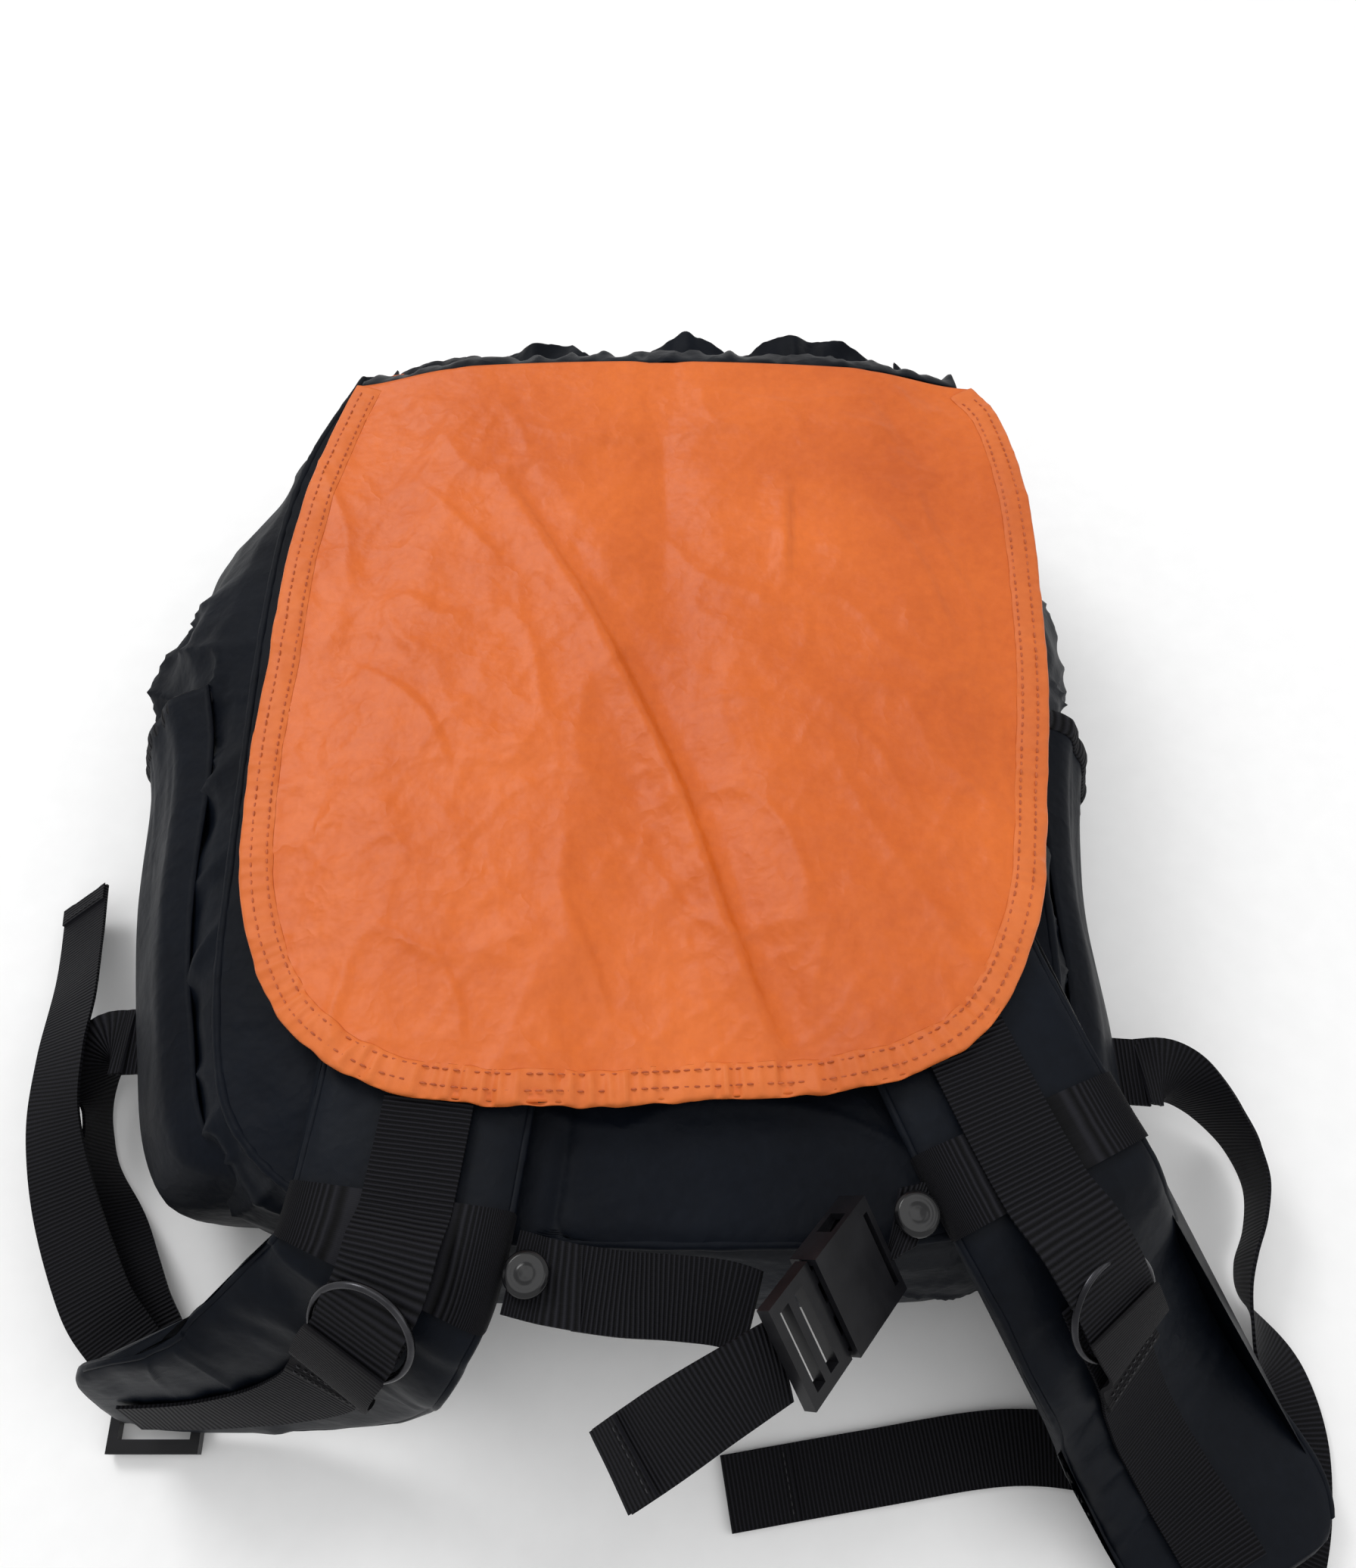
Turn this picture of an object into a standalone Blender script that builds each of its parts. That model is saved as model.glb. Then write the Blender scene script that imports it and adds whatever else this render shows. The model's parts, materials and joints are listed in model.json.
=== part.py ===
"""Travel backpack, lying on its front with the harness side up and the top flap folded back.

Frame: metres, +Z up, +X to the bag's right as seen from above, +Y towards the bag's mouth.
The origin is on the floor under the body. Lengths below are in millimetres.
"""

import math

import bmesh
import bpy
from mathutils import Matrix, Vector

MM = 0.001
GAP = 0.3                      # clearance between pieces that touch

# Body
BODY_HEIGHT = 100.0            # front panel to back panel, bag lying down
PANEL = 2.0                    # cloth panel with its seam allowance
MOUTH_Y = 190.0
COLLAR_END_Y = 221.0
SKIN_LEVELS = (                # height, and share of the side bulge at that height
    (97.7, 0.0), (82.0, 0.60), (60.0, 0.93), (38.0, 1.0), (16.0, 0.86), (2.3, 0.62))
FRONT_SHARE = 0.62
# Seam line round the back panel from mouth to mouth: x, y, side bulge
SEAM = (
    (-126, 190, 6), (-142, 150, 28), (-150, 110, 56), (-152, 60, 58), (-151, 10, 40),
    (-149, -45, 36), (-146, -95, 30), (-136, -135, 26), (-112, -160, 12), (-78, -173, 11),
    (0, -177, 10), (80, -176, 11), (112, -169, 15), (135, -146, 22), (142, -100, 19),
    (143, -50, 14), (143, 0, 20), (142, 50, 33), (139, 100, 31), (132, 150, 16), (122, 190, 5))
LEFT_GUSSET = (0, 7)
BOTTOM = (7, 13)
RIGHT_GUSSET = (13, 20)

# Flap
FLAP_LENGTH = 321.0
FLAP_CORNER = 78.0
FLAP_BASE_Z = 116.2
HINGE_Y = 183.0
HINGE_Z = 116.5
HEM_WIDTH = 11.0

# Harness
PAD_WIDTH = 69.0
PAD_THICK = 9.0
PAD_END_WIDTH = 80.0           # the pads widen below the chest strap
PAD_FLARE = (368.0, 420.0)     # where they widen, along the pad
WEB = 25.0                     # adjuster and sternum webbing
MAIN_WEB = 29.0                # webbing down the shoulder pads
WEB_THICK = 1.2
LOOP_GAP = 0.5                 # slack of the sternum loops round the pads
RING_RADIUS = 17.0
RING_WIRE = 2.6
CAP_RADIUS = 7.2

# Ladder locks: the sewn bar each one tilts on, and the way the right one points
LEFT_LOCK_PIVOT = Vector((-175.5, -214.0, 4.0))
RIGHT_LOCK_PIVOT = Vector((218.0, -288.0, 5.6))
RIGHT_LOCK_HEADING = Vector((0.46, -0.888, 0)).normalized()
LOCK_THICK = 4.6

# Side-release buckle: ladder bar, insertion direction and width direction
BUCKLE_BAR = Vector((43.6, -212.8, 130.0))
BUCKLE_AXIS = Vector((0.560, 0.680, -0.470)).normalized()
BUCKLE_WIDTH_HINT = Vector((0.370, -0.760, -0.520))
BUCKLE_WIDE = 34.0
LADDER_LONG = 20.0
FEMALE_LONG = 31.0
FEMALE_THICK = 9.6
MALE_THICK = 4.4

# Routes, head to tail: x, y, z, roll about the direction of travel in degrees
LEFT_PAD = (
    (-42, 172, 107, 0), (-50, 90, 107, 0), (-58, 0, 107, 0), (-66, -90, 107, 0),
    (-71, -140, 107, 0), (-77, -181, 107, 0), (-84, -195, 100, 14), (-95, -203, 84, 34),
    (-108, -209, 67, 54), (-124, -213, 54, 68), (-146, -216, 47, 76), (-165, -217, 46, 79),
    (-182, -217, 46, 80))
RIGHT_PAD = (
    (52, 172, 107, 0), (62, 90, 107, 0), (76, 0, 107, 0), (97, -78, 107, 0),
    (111, -117, 107, 0), (124, -149, 107, 0), (135, -171, 104, 0), (148, -190, 85, 4),
    (161, -204, 60, 6), (172, -217, 38, 6), (186, -234, 21, 3), (199, -253, 14, 0),
    (210, -274, 12, 0))
LEFT_FEED = (
    (-200, -93, 40, 0), (-207, -93, 36, 10), (-213, -98, 28, 50), (-215, -108, 19, 80),
    (-213, -121, 16, 86), (-209, -138, 15, 70), (-199, -162, 14, 25), (-188, -184, 13, 0),
    (-181, -197, 9, 0), (-179, -205, 6, 0))
LEFT_TAIL = (
    (-181, -207, 11, 0), (-189, -197, 19, 0), (-198, -184, 27, 0), (-213, -155, 28, 8),
    (-223, -124, 33, 22), (-225, -98, 36, 28), (-227, -74, 31, 28), (-233, -48, 20, 30),
    (-239, -22, 12, 30))
RIGHT_FEED = (
    (187, -107, 48, 0), (195, -106.6, 45, -20), (206, -109, 36, -60), (218, -116, 26, -78),
    (228, -127, 19, -86), (232, -141, 17, -90), (229, -156, 16, -92), (223, -169, 16, -92),
    (221, -181, 14.5, -102), (225, -195, 12, -130), (231, -210, 6.5, -160), (233, -230, 3.6, -176),
    (229, -252, 3.0, -180), (223, -268, 3.0, -180))
RIGHT_TAIL = (
    (210, -270, 1.4, 0), (203, -257, 1.2, 0), (188, -243, 1.1, 0), (163, -234, 1.1, 0),
    (130, -231, 1.1, 0), (80, -238, 1.1, 0), (29, -246, 1.1, 0))
STERNUM_BAND = (
    (-19, -191, 106, 0), (-5, -192.5, 104, 0), (10, -193, 102, 0), (25, -194.5, 102, -8),
    (35, -198, 105, -20))
STERNUM_TAIL = (
    (42, -213, 125.5, 33), (32, -219, 130, 30), (18, -227, 127, 22), (4, -235, 117, 8),
    (-7, -241, 107, 0))


def clear_scene() -> None:
    for item in list(bpy.data.objects):
        bpy.data.objects.remove(item, do_unlink=True)


def material(name, colour, roughness, metallic=0.0):
    made = bpy.data.materials.new(name)
    made.use_nodes = True
    shader = made.node_tree.nodes["Principled BSDF"]
    shader.inputs["Base Color"].default_value = (*colour, 1.0)
    shader.inputs["Roughness"].default_value = roughness
    shader.inputs["Metallic"].default_value = metallic
    return made


def add_object(name, verts, faces, finish, smooth_angle=None):
    """Make one closed body from points in millimetres."""
    mesh = bpy.data.meshes.new(name)
    mesh.from_pydata([Vector(v) * MM for v in verts], [], faces)
    shell = bmesh.new()
    shell.from_mesh(mesh)
    bmesh.ops.recalc_face_normals(shell, faces=shell.faces)
    shell.to_mesh(mesh)
    shell.free()
    if smooth_angle is not None:
        mesh.shade_smooth()
        mesh.set_sharp_from_angle(angle=math.radians(smooth_angle))
    mesh.materials.append(finish)
    made = bpy.data.objects.new(name, mesh)
    bpy.context.scene.collection.objects.link(made)
    return made


def loft(name, sections, finish, smooth_angle=None):
    """Join equal closed sections in a row and cap both ends."""
    size = len(sections[0])
    verts = [p for section in sections for p in section]
    faces = []
    for row in range(len(sections) - 1):
        for k in range(size):
            nxt = (k + 1) % size
            faces.append((row * size + k, row * size + nxt,
                          (row + 1) * size + nxt, (row + 1) * size + k))
    faces.append(tuple(range(size)))
    faces.append(tuple(range((len(sections) - 1) * size, len(sections) * size)))
    return add_object(name, verts, faces, finish, smooth_angle)


def sleeve(name, outer_rings, inner_rings, finish):
    """A band with a wall and two open ends: outer and inner rings joined at both ends."""
    size = len(outer_rings[0])
    rings = list(outer_rings) + list(reversed(inner_rings))
    verts = [p for ring in rings for p in ring]
    count = len(rings)
    faces = []
    for row in range(count):
        nxt_row = (row + 1) % count
        for k in range(size):
            nxt = (k + 1) % size
            faces.append((row * size + k, row * size + nxt,
                          nxt_row * size + nxt, nxt_row * size + k))
    return add_object(name, verts, faces, finish)


def prism(name, outline, low, high, finish):
    """A flat panel: an outline in X and Y between two heights."""
    return loft(name, [[(x, y, low) for x, y in outline], [(x, y, high) for x, y in outline]],
                finish)


def slotted_plate(name, matrix, across, along, holes, thickness, finish):
    """A moulded plate made of the cells of a grid, with some cells left open."""
    columns = len(across)
    verts = [Vector((a, b, h)) for h in (-thickness / 2, thickness / 2)
             for b in along for a in across]
    layer = columns * len(along)
    cells = {(i, j) for i in range(columns - 1) for j in range(len(along) - 1)} - set(holes)
    faces = []
    for i, j in sorted(cells):
        corner = (i + j * columns, i + 1 + j * columns, i + 1 + (j + 1) * columns,
                  i + (j + 1) * columns)
        faces.append(tuple(reversed(corner)))
        faces.append(tuple(c + layer for c in corner))
        sides = (((i, j - 1), corner[0], corner[1]), ((i + 1, j), corner[1], corner[2]),
                 ((i, j + 1), corner[2], corner[3]), ((i - 1, j), corner[3], corner[0]))
        for neighbour, first, second in sides:
            if neighbour not in cells:
                faces.append((first, second, second + layer, first + layer))
    used = sorted({v for face in faces for v in face})
    index = {v: k for k, v in enumerate(used)}
    return add_object(name, [matrix @ verts[v] for v in used],
                      [tuple(index[v] for v in face) for face in faces], finish)


# ---------------------------------------------------------------- straps

def smooth_route(points, steps):
    """Catmull-Rom curve through the route's own points."""
    padded = [points[0], *points, points[-1]]
    made = []
    for a, b, c, d in zip(padded, padded[1:], padded[2:], padded[3:]):
        for k in range(steps):
            t = k / steps
            made.append([0.5 * (2 * q + (r - p) * t + (2 * p - 5 * q + 4 * r - s) * t * t
                                + (3 * q - p - 3 * r + s) * t ** 3)
                         for p, q, r, s in zip(a, b, c, d)])
    made.append([float(v) for v in points[-1]])
    return made


def frames_of(points, steps):
    """Centre, width direction, face direction and travel direction along a route."""
    curve = smooth_route(points, steps)
    frames = []
    for k, sample in enumerate(curve):
        before, after = curve[max(0, k - 1)], curve[min(len(curve) - 1, k + 1)]
        travel = (Vector(after[:3]) - Vector(before[:3])).normalized()
        level = travel.cross(Vector((0, 0, 1))).normalized()
        rise = level.cross(travel)
        roll = math.radians(sample[3])
        side = level * math.cos(roll) + rise * math.sin(roll)
        frames.append((Vector(sample[:3]), side, side.cross(travel), travel))
    return frames


def offset_frames(frames, lift, shift=(0.0, 0.0)):
    """Frames raised off a pad and moved across it, by one amount above its flare and
    another below."""
    return [(c + n * lift + s * flared(d, *shift), s, n, t)
            for (c, s, n, t), d in zip(frames, travelled(frames))]


def strap(name, frames, width, thickness, finish):
    """Flat webbing of rectangular section along the frames."""
    half, up = width / 2, thickness / 2
    sections = [[c - s * half - n * up, c + s * half - n * up,
                 c + s * half + n * up, c - s * half + n * up] for c, s, n, _ in frames]
    return loft(name, sections, finish)


def flared(distance, start, end):
    """A size that changes from start to end over the stretch where the pads widen."""
    t = min(1.0, max(0.0, (distance - PAD_FLARE[0]) / (PAD_FLARE[1] - PAD_FLARE[0])))
    return start + (end - start) * t


def padded_strap(name, frames, thickness, finish):
    """A shoulder pad: flat faces with rounded edges, a wider lower end and a rounded tip."""
    up = thickness / 2
    sections = []
    last = len(frames) - 1
    for k, ((c, s, n, _), distance) in enumerate(zip(frames, travelled(frames))):
        half = flared(distance, PAD_WIDTH, PAD_END_WIDTH) / 2
        half *= 0.80 if k == last else 0.95 if k in (0, last - 1) else 1.0
        section = []
        for side in (1, -1):
            for step in range(5):
                angle = math.radians(90 - 45 * step)
                a = side * (half - up + up * math.cos(angle))
                section.append(c + s * a + n * (side * up * math.sin(angle)))
        sections.append(section)
    return loft(name, sections, finish, 60)


def travelled(frames):
    """Distance along the route at each frame."""
    lengths = [0.0]
    for (a, *_), (b, *_) in zip(frames, frames[1:]):
        lengths.append(lengths[-1] + (b - a).length)
    return lengths


def frame_at(frames, lengths, where):
    """The frame at a distance along the route, between the frames on either side."""
    k = max(i for i in range(len(lengths) - 1) if lengths[i] <= where)
    t = (where - lengths[k]) / (lengths[k + 1] - lengths[k])
    return tuple(a.lerp(b, t) for a, b in zip(frames[k], frames[k + 1]))


def pad_loop(name, frames, centre_y, finish):
    """A webbing loop sewn round a pad, following the pad's own bend."""
    lengths = travelled(frames)
    middle = next(d for f, d in zip(frames, lengths) if f[0].y <= centre_y)
    near, far = middle - WEB / 2, middle + WEB / 2
    stops = sorted({near, far, *(d for d in lengths if near + 1 < d < far - 1)})
    rings = {"outer": [], "inner": []}
    for stop in stops:
        c, s, n, _ = frame_at(frames, lengths, stop)
        for which, clear in (("inner", LOOP_GAP), ("outer", LOOP_GAP + WEB_THICK)):
            half, up = PAD_WIDTH / 2 + clear, PAD_THICK / 2 + clear
            corners = ((half, -up * 0.4), (half, up * 0.4), (half - 2.2, up), (2.2 - half, up),
                       (-half, up * 0.4), (-half, -up * 0.4), (2.2 - half, -up),
                       (half - 2.2, -up))
            rings[which].append([c + s * a + n * b for a, b in corners])
    sleeve(name, rings["outer"], rings["inner"], finish)
    return frame_at(frames, lengths, middle)


def lead_frames(points):
    """Frames of a short strap given by points and the direction of its width at each."""
    frames = []
    for k, (*place, u, v, w) in enumerate(points):
        ahead, behind = points[min(len(points) - 1, k + 1)], points[max(0, k - 1)]
        travel = (Vector(ahead[:3]) - Vector(behind[:3])).normalized()
        side = Vector((u, v, w))
        side = (side - travel * side.dot(travel)).normalized()
        frames.append((Vector(place), side, side.cross(travel), travel))
    return frames


def turned(name, centre, axis, profile, finish, steps=20):
    """A piece turned about an axis from (radius, height) points, first and last on the axis."""
    turn = axis.to_track_quat("Z", "Y").to_matrix()
    rings = [[centre + turn @ Vector((r * math.cos(2 * math.pi * k / steps),
                                      r * math.sin(2 * math.pi * k / steps), h))
              for k in range(steps)] for r, h in profile]
    return loft(name, rings, finish, 40)


def wire_ring(name, centre, face, radius, wire, finish, steps=28, sides=8):
    """A welded wire ring lying in the plane whose normal is face."""
    turn = face.to_track_quat("Z", "Y").to_matrix()
    verts, faces = [], []
    for i in range(steps):
        a = 2 * math.pi * i / steps
        for j in range(sides):
            b = 2 * math.pi * j / sides
            r = radius + wire / 2 * math.cos(b)
            verts.append(centre + turn @ Vector((r * math.cos(a), r * math.sin(a),
                                                 wire / 2 * math.sin(b))))
            n, m = (i + 1) % steps, (j + 1) % sides
            faces.append((i * sides + j, n * sides + j, n * sides + m, i * sides + m))
    made = add_object(name, verts, faces, finish, 60)
    shift = centre * MM
    made.data.transform(Matrix.Translation(-shift))
    made.location = shift
    return made


def set_origin(item, point):
    """Put an object's origin on its joint without moving its shape."""
    shift = Vector(point) * MM
    item.data.transform(Matrix.Translation(-shift))
    item.location = shift


# ---------------------------------------------------------------- body

def seam_normals():
    out = []
    for k in range(len(SEAM)):
        a, b = SEAM[max(0, k - 1)], SEAM[min(len(SEAM) - 1, k + 1)]
        run = Vector((b[0] - a[0], b[1] - a[1])).normalized()
        out.append(Vector((run.y, -run.x)))
    out[0], out[-1] = Vector((-1, 0)), Vector((1, 0))
    return out


def skin_point(k, normals, level, outward):
    """A point of the side skin at a seam station and a level, moved outward by a distance."""
    x, y, bulge = SEAM[k]
    height, share = SKIN_LEVELS[level]
    push = bulge * share + outward
    return (x + normals[k].x * push, y + normals[k].y * push, height)


def seam_outline(share, inward):
    normals = seam_normals()
    return [(x + n.x * (b * share - inward), y + n.y * (b * share - inward))
            for (x, y, b), n in zip(SEAM, normals)]


def skin_panel(name, span, trim, finish, outward=0.0, wall=PANEL, levels=range(6)):
    """A side panel that follows the seam from one station to another, bulged outwards."""
    normals = seam_normals()
    sections = []
    for k in range(span[0], span[1] + 1):
        outer = [Vector(skin_point(k, normals, j, outward)) for j in levels]
        inner = [Vector(skin_point(k, normals, j, outward - wall)) for j in reversed(levels)]
        sections.append(outer + inner)
    for end, inside in ((0, 1), (-1, -2)):
        if trim:
            toward = [(b - a).normalized() * (GAP / 2) for a, b in
                      zip(sections[end], sections[inside])]
            sections[end] = [p + d for p, d in zip(sections[end], toward)]
    return loft(name, sections, finish)


def rounded_box(half_x, half_z, corner, centre_x, centre_z, y):
    points = []
    for quarter in range(4):
        cx = (half_x - corner) * (1 if quarter in (0, 3) else -1)
        cz = (half_z - corner) * (1 if quarter in (0, 1) else -1)
        for step in range(5):
            angle = math.radians(90 * quarter + 22.5 * step)
            points.append((centre_x + cx + corner * math.cos(angle), y,
                           centre_z + cz + corner * math.sin(angle)))
    return points


def build_body(nylon, lining, foam):
    prism("front_panel", seam_outline(FRONT_SHARE, GAP), 0.0, PANEL, nylon)
    prism("back_panel", seam_outline(0.0, -1.5), BODY_HEIGHT - PANEL, BODY_HEIGHT, nylon)
    skin_panel("left_gusset", LEFT_GUSSET, True, nylon)
    skin_panel("bottom_panel", BOTTOM, True, nylon)
    skin_panel("right_gusset", RIGHT_GUSSET, True, nylon)
    prism("back_foam_sheet", seam_outline(0.0, 8.0), 94.0, 97.2, foam)

    def sack_ring(inward, low, high):
        """Section of the lining at each station, as a flat box that follows the seam."""
        return [(x, y, low) for x, y in seam_outline(0.0, inward)], \
               [(x, y, high) for x, y in seam_outline(0.0, inward)]

    outer_low, outer_high = sack_ring(5.0, 3.0, 93.4)
    inner_low, inner_high = sack_ring(6.2, 4.2, 92.2)
    count = len(outer_low)
    verts = outer_low + outer_high + inner_low + inner_high
    faces = []
    for k in range(count - 1):
        faces.append((k, k + 1, count + k + 1, count + k))
        faces.append((2 * count + k, 2 * count + k + 1, 3 * count + k + 1, 3 * count + k))
    faces.append(tuple(range(count)))
    faces.append(tuple(range(count, 2 * count)))
    faces.append(tuple(range(2 * count, 3 * count)))
    faces.append(tuple(range(3 * count, 4 * count)))
    last = count - 1
    faces.append((0, last, 2 * count + last, 2 * count))
    faces.append((count, count + last, 3 * count + last, 3 * count))
    faces.append((0, count, 3 * count, 2 * count))
    faces.append((last, count + last, 3 * count + last, 2 * count + last))
    add_object("lining_sack", verts, faces, lining)

    stations = ((MOUTH_Y + 2.2, 125.0, 49.0), (206.0, 121.0, 46.0), (COLLAR_END_Y, 117.0, 42.0))
    outer = [rounded_box(hx, hz, 22, -2, 50, y) for y, hx, hz in stations]
    inner = [rounded_box(hx - 2.4, hz - 2.4, 20, -2, 50, y) for y, hx, hz in stations]
    sleeve("mouth_collar", outer, inner, nylon)


def build_pockets(nylon, edging, webbing, metal):
    """Open pouches on the gussets with a gathered edge, sewn anchors and corner studs."""
    for name, span, order in (("left", (4, 7), 1), ("right", (13, 16), -1)):
        normals = seam_normals()
        stations = list(range(span[0], span[1] + 1))[::order]
        stand_off = (9.0, 7.0, 4.5, 2.2)
        levels = range(1, 5)
        sections = []
        for k, push in zip(stations, stand_off):
            outer = [Vector(skin_point(k, normals, j, push)) for j in levels]
            inner = [Vector(skin_point(k, normals, j, push - 1.6)) for j in reversed(levels)]
            sections.append(outer + inner)
        loft(f"{name}_side_pocket", sections, nylon)
        mouth = stations[0]
        drop = Vector(skin_point(stations[1], normals, 2, 0)) - Vector(
            skin_point(mouth, normals, 2, 0))
        drop.z = 0
        slide = drop.normalized()
        rows = []
        for along in (0.0, 9.0):
            rim = slide * along
            outer = [Vector(skin_point(mouth, normals, j, 11.2)) + rim for j in levels]
            inner = [Vector(skin_point(mouth, normals, j, 9.4)) + rim for j in reversed(levels)]
            rows.append(outer + inner)
        loft(f"{name}_pocket_elastic", rows, edging)
    tab = ((-184.5, -106), (-184.5, -80), (-198.6, -82), (-198.6, -105))
    prism("left_anchor_tab", tab, 38.4, 41.6, webbing)
    tab = ((170.0, -119), (170.0, -94), (184.6, -96), (184.6, -119))
    prism("right_anchor_tab", tab, 46.4, 49.6, webbing)
    stud = ((0.01, 0.0), (5.2, 0.0), (5.2, 0.8), (4.2, 2.2), (2.4, 2.9), (0.01, 3.1))
    turned("left_corner_stud", Vector((-166.8, -151.6, 26)), Vector((-0.75, -0.52, 0.25)),
           stud, metal)
    turned("right_corner_stud", Vector((163.6, -158.4, 26)), Vector((0.70, -0.60, 0.25)),
           stud, metal)
    for name, x in (("left", -79.0), ("right", 75.0)):
        wire_ring(f"{name}_eyelet", Vector((x, 199.0, 99.4)), Vector((0, 0.25, 1)).normalized(),
                  4.4, 1.8, metal, 20, 6)


def flap_outline(inset):
    """Flap plan: slightly wider at mid length, with large round corners at the free end."""
    root_y = HINGE_Y - 5.0
    end_y = HINGE_Y - FLAP_LENGTH
    left = [(-126 + inset, root_y), (-137 + inset, root_y - 50), (-142 + inset, root_y - 120),
            (-143 + inset, root_y - 180)]
    right = [(147 - inset, root_y - 156), (151 - inset, root_y - 90), (147 - inset, root_y - 40),
             (136 - inset, root_y)]
    corner = FLAP_CORNER - inset
    points = left
    for step in range(9):
        angle = math.radians(180 + 11.25 * step)
        points.append((-142 + FLAP_CORNER + corner * math.cos(angle),
                       end_y + FLAP_CORNER + corner * math.sin(angle)))
    for step in range(9):
        angle = math.radians(270 + 11.25 * step)
        points.append((142 - FLAP_CORNER + corner * math.cos(angle),
                       end_y + FLAP_CORNER + corner * math.sin(angle)))
    return points + right


def build_flap(nylon, lining, edging, webbing):
    """The flap in its three sewn layers, its hem ring and the seam it turns on."""
    outer = prism("flap_outer", flap_outline(0.0), FLAP_BASE_Z, FLAP_BASE_Z + 1.4, nylon)
    inner = prism("flap_lining", flap_outline(HEM_WIDTH + GAP),
                  FLAP_BASE_Z + 1.7, FLAP_BASE_Z + 2.9, lining)
    ring_out, ring_in = flap_outline(0.0), flap_outline(HEM_WIDTH)
    low, high = FLAP_BASE_Z + 1.7, FLAP_BASE_Z + 3.1
    count = len(ring_out)
    sections = [[(*ring_out[k], low), (*ring_in[k], low), (*ring_in[k], high),
                 (*ring_out[k], high)] for k in range(count)]
    hem = loft("flap_hem", sections, edging)
    for piece in (outer, inner, hem):
        set_origin(piece, (0, HINGE_Y, HINGE_Z))
    band = ((-120, HINGE_Y + 1.0), (-120, HINGE_Y + 6.5), (128, HINGE_Y + 6.5),
            (128, HINGE_Y + 1.0))
    prism("flap_seam_band", band, BODY_HEIGHT + GAP, 112.0, webbing)


# ---------------------------------------------------------------- harness

def build_shoulder(side, route, ring_y, lateral, nylon, webbing, metal):
    """One shoulder strap: pad, main webbing, ring and tab, lower webbing."""
    frames = frames_of(route, 4)
    padded_strap(f"{side}_shoulder_pad", frames, PAD_THICK, nylon)
    lift = PAD_THICK / 2 + 1.5 * WEB_THICK + LOOP_GAP + GAP + 0.2
    tab_from = next(k for k, f in enumerate(frames) if f[0].y <= ring_y)
    on_pad = offset_frames(frames, lift, lateral)
    strap(f"{side}_main_webbing", on_pad[1:tab_from + 1], MAIN_WEB, WEB_THICK, webbing)
    strap(f"{side}_lower_webbing",
          offset_frames(frames, PAD_THICK / 2 + 1.2 + WEB_THICK / 2, lateral)[tab_from + 2:-1],
          MAIN_WEB - 2, WEB_THICK, webbing)
    tab = offset_frames(frames, lift + 1.0 + WEB_THICK, lateral)[tab_from + 1:tab_from + 6]
    strap(f"{side}_ring_tab", tab, MAIN_WEB + 1, 1.6, webbing)
    centre, _, face, travel = offset_frames(frames, lift + 2.9, lateral)[tab_from]
    ring_centre = centre - travel * 8.0 + face * 1.6
    wire_ring(f"{side}_ring", ring_centre, face, RING_RADIUS, RING_WIRE, metal)
    return frames


def ladder_lock(name, pivot, width_dir, reach_dir, plastic):
    """A ladder-lock buckle: sewn bar on the pivot, where its origin is, and two slots."""
    face = width_dir.cross(reach_dir).normalized()
    matrix = Matrix((width_dir, reach_dir, face)).transposed().to_4x4()
    matrix.translation = pivot
    across = (-16.5, -13.0, 13.0, 16.5)
    along = (-1.6, 1.6, 6.2, 9.4, 14.8, 19.6)
    lock = slotted_plate(name, matrix, across, along, {(1, 1), (1, 3)}, LOCK_THICK, plastic)
    set_origin(lock, pivot)


def build_adjusters(webbing, plastic):
    for name, route in (("left_adjuster_feed", LEFT_FEED), ("left_adjuster_tail", LEFT_TAIL),
                        ("right_adjuster_feed", RIGHT_FEED), ("right_adjuster_tail", RIGHT_TAIL)):
        strap(name, frames_of(route, 4), WEB, WEB_THICK, webbing)
    ladder_lock("left_ladder_lock", LEFT_LOCK_PIVOT, Vector((1, 0, 0)), Vector((0, -1, 0)),
                plastic)
    heading = RIGHT_LOCK_HEADING
    ladder_lock("right_ladder_lock", RIGHT_LOCK_PIVOT, Vector((-heading.y, heading.x, 0)),
                heading, plastic)


def build_sternum(left_frames, right_frames, webbing):
    """Chest strap: a loop round each pad, the tabs with the press studs, band and tail."""
    pad_loop("left_sternum_loop", left_frames, -177.0, webbing)
    pad_loop("right_sternum_loop", right_frames, -149.0, webbing)
    left_tab = lead_frames((
        (-39.2, -186.6, 108.0, 0.2, 1, 0), (-34.2, -187.9, 108.2, 0.2, 1, 0),
        (-29, -189.2, 107.8, 0.1, 1, 0), (-21.5, -190.6, 107.0, 0, 1, 0)))
    right_tab = lead_frames((
        (90.8, -167.8, 108.0, 0.42, 0.9, 0), (86, -170.2, 108.2, 0.42, 0.9, 0),
        (82, -172.2, 107.9, 0.42, 0.9, 0), (78.5, -173.9, 107.2, 0.42, 0.9, 0)))
    strap("left_snap_tab", left_tab, WEB, WEB_THICK, webbing)
    strap("right_snap_tab", right_tab, WEB, WEB_THICK, webbing)
    strap("sternum_band", frames_of(STERNUM_BAND, 4), WEB, WEB_THICK, webbing)
    tail = strap("sternum_tail", frames_of(STERNUM_TAIL, 4), WEB, WEB_THICK, webbing)
    set_origin(tail, BUCKLE_BAR)
    return left_tab, right_tab


def buckle_width():
    hint = BUCKLE_WIDTH_HINT
    return (hint - BUCKLE_AXIS * hint.dot(BUCKLE_AXIS)).normalized()


def buckle_matrix():
    """Buckle frame: X across its width, Y along insertion, Z out of its top face."""
    wide = buckle_width()
    face = wide.cross(BUCKLE_AXIS)
    matrix = Matrix((wide, BUCKLE_AXIS, face)).transposed().to_4x4()
    matrix.translation = BUCKLE_BAR
    return matrix


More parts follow.
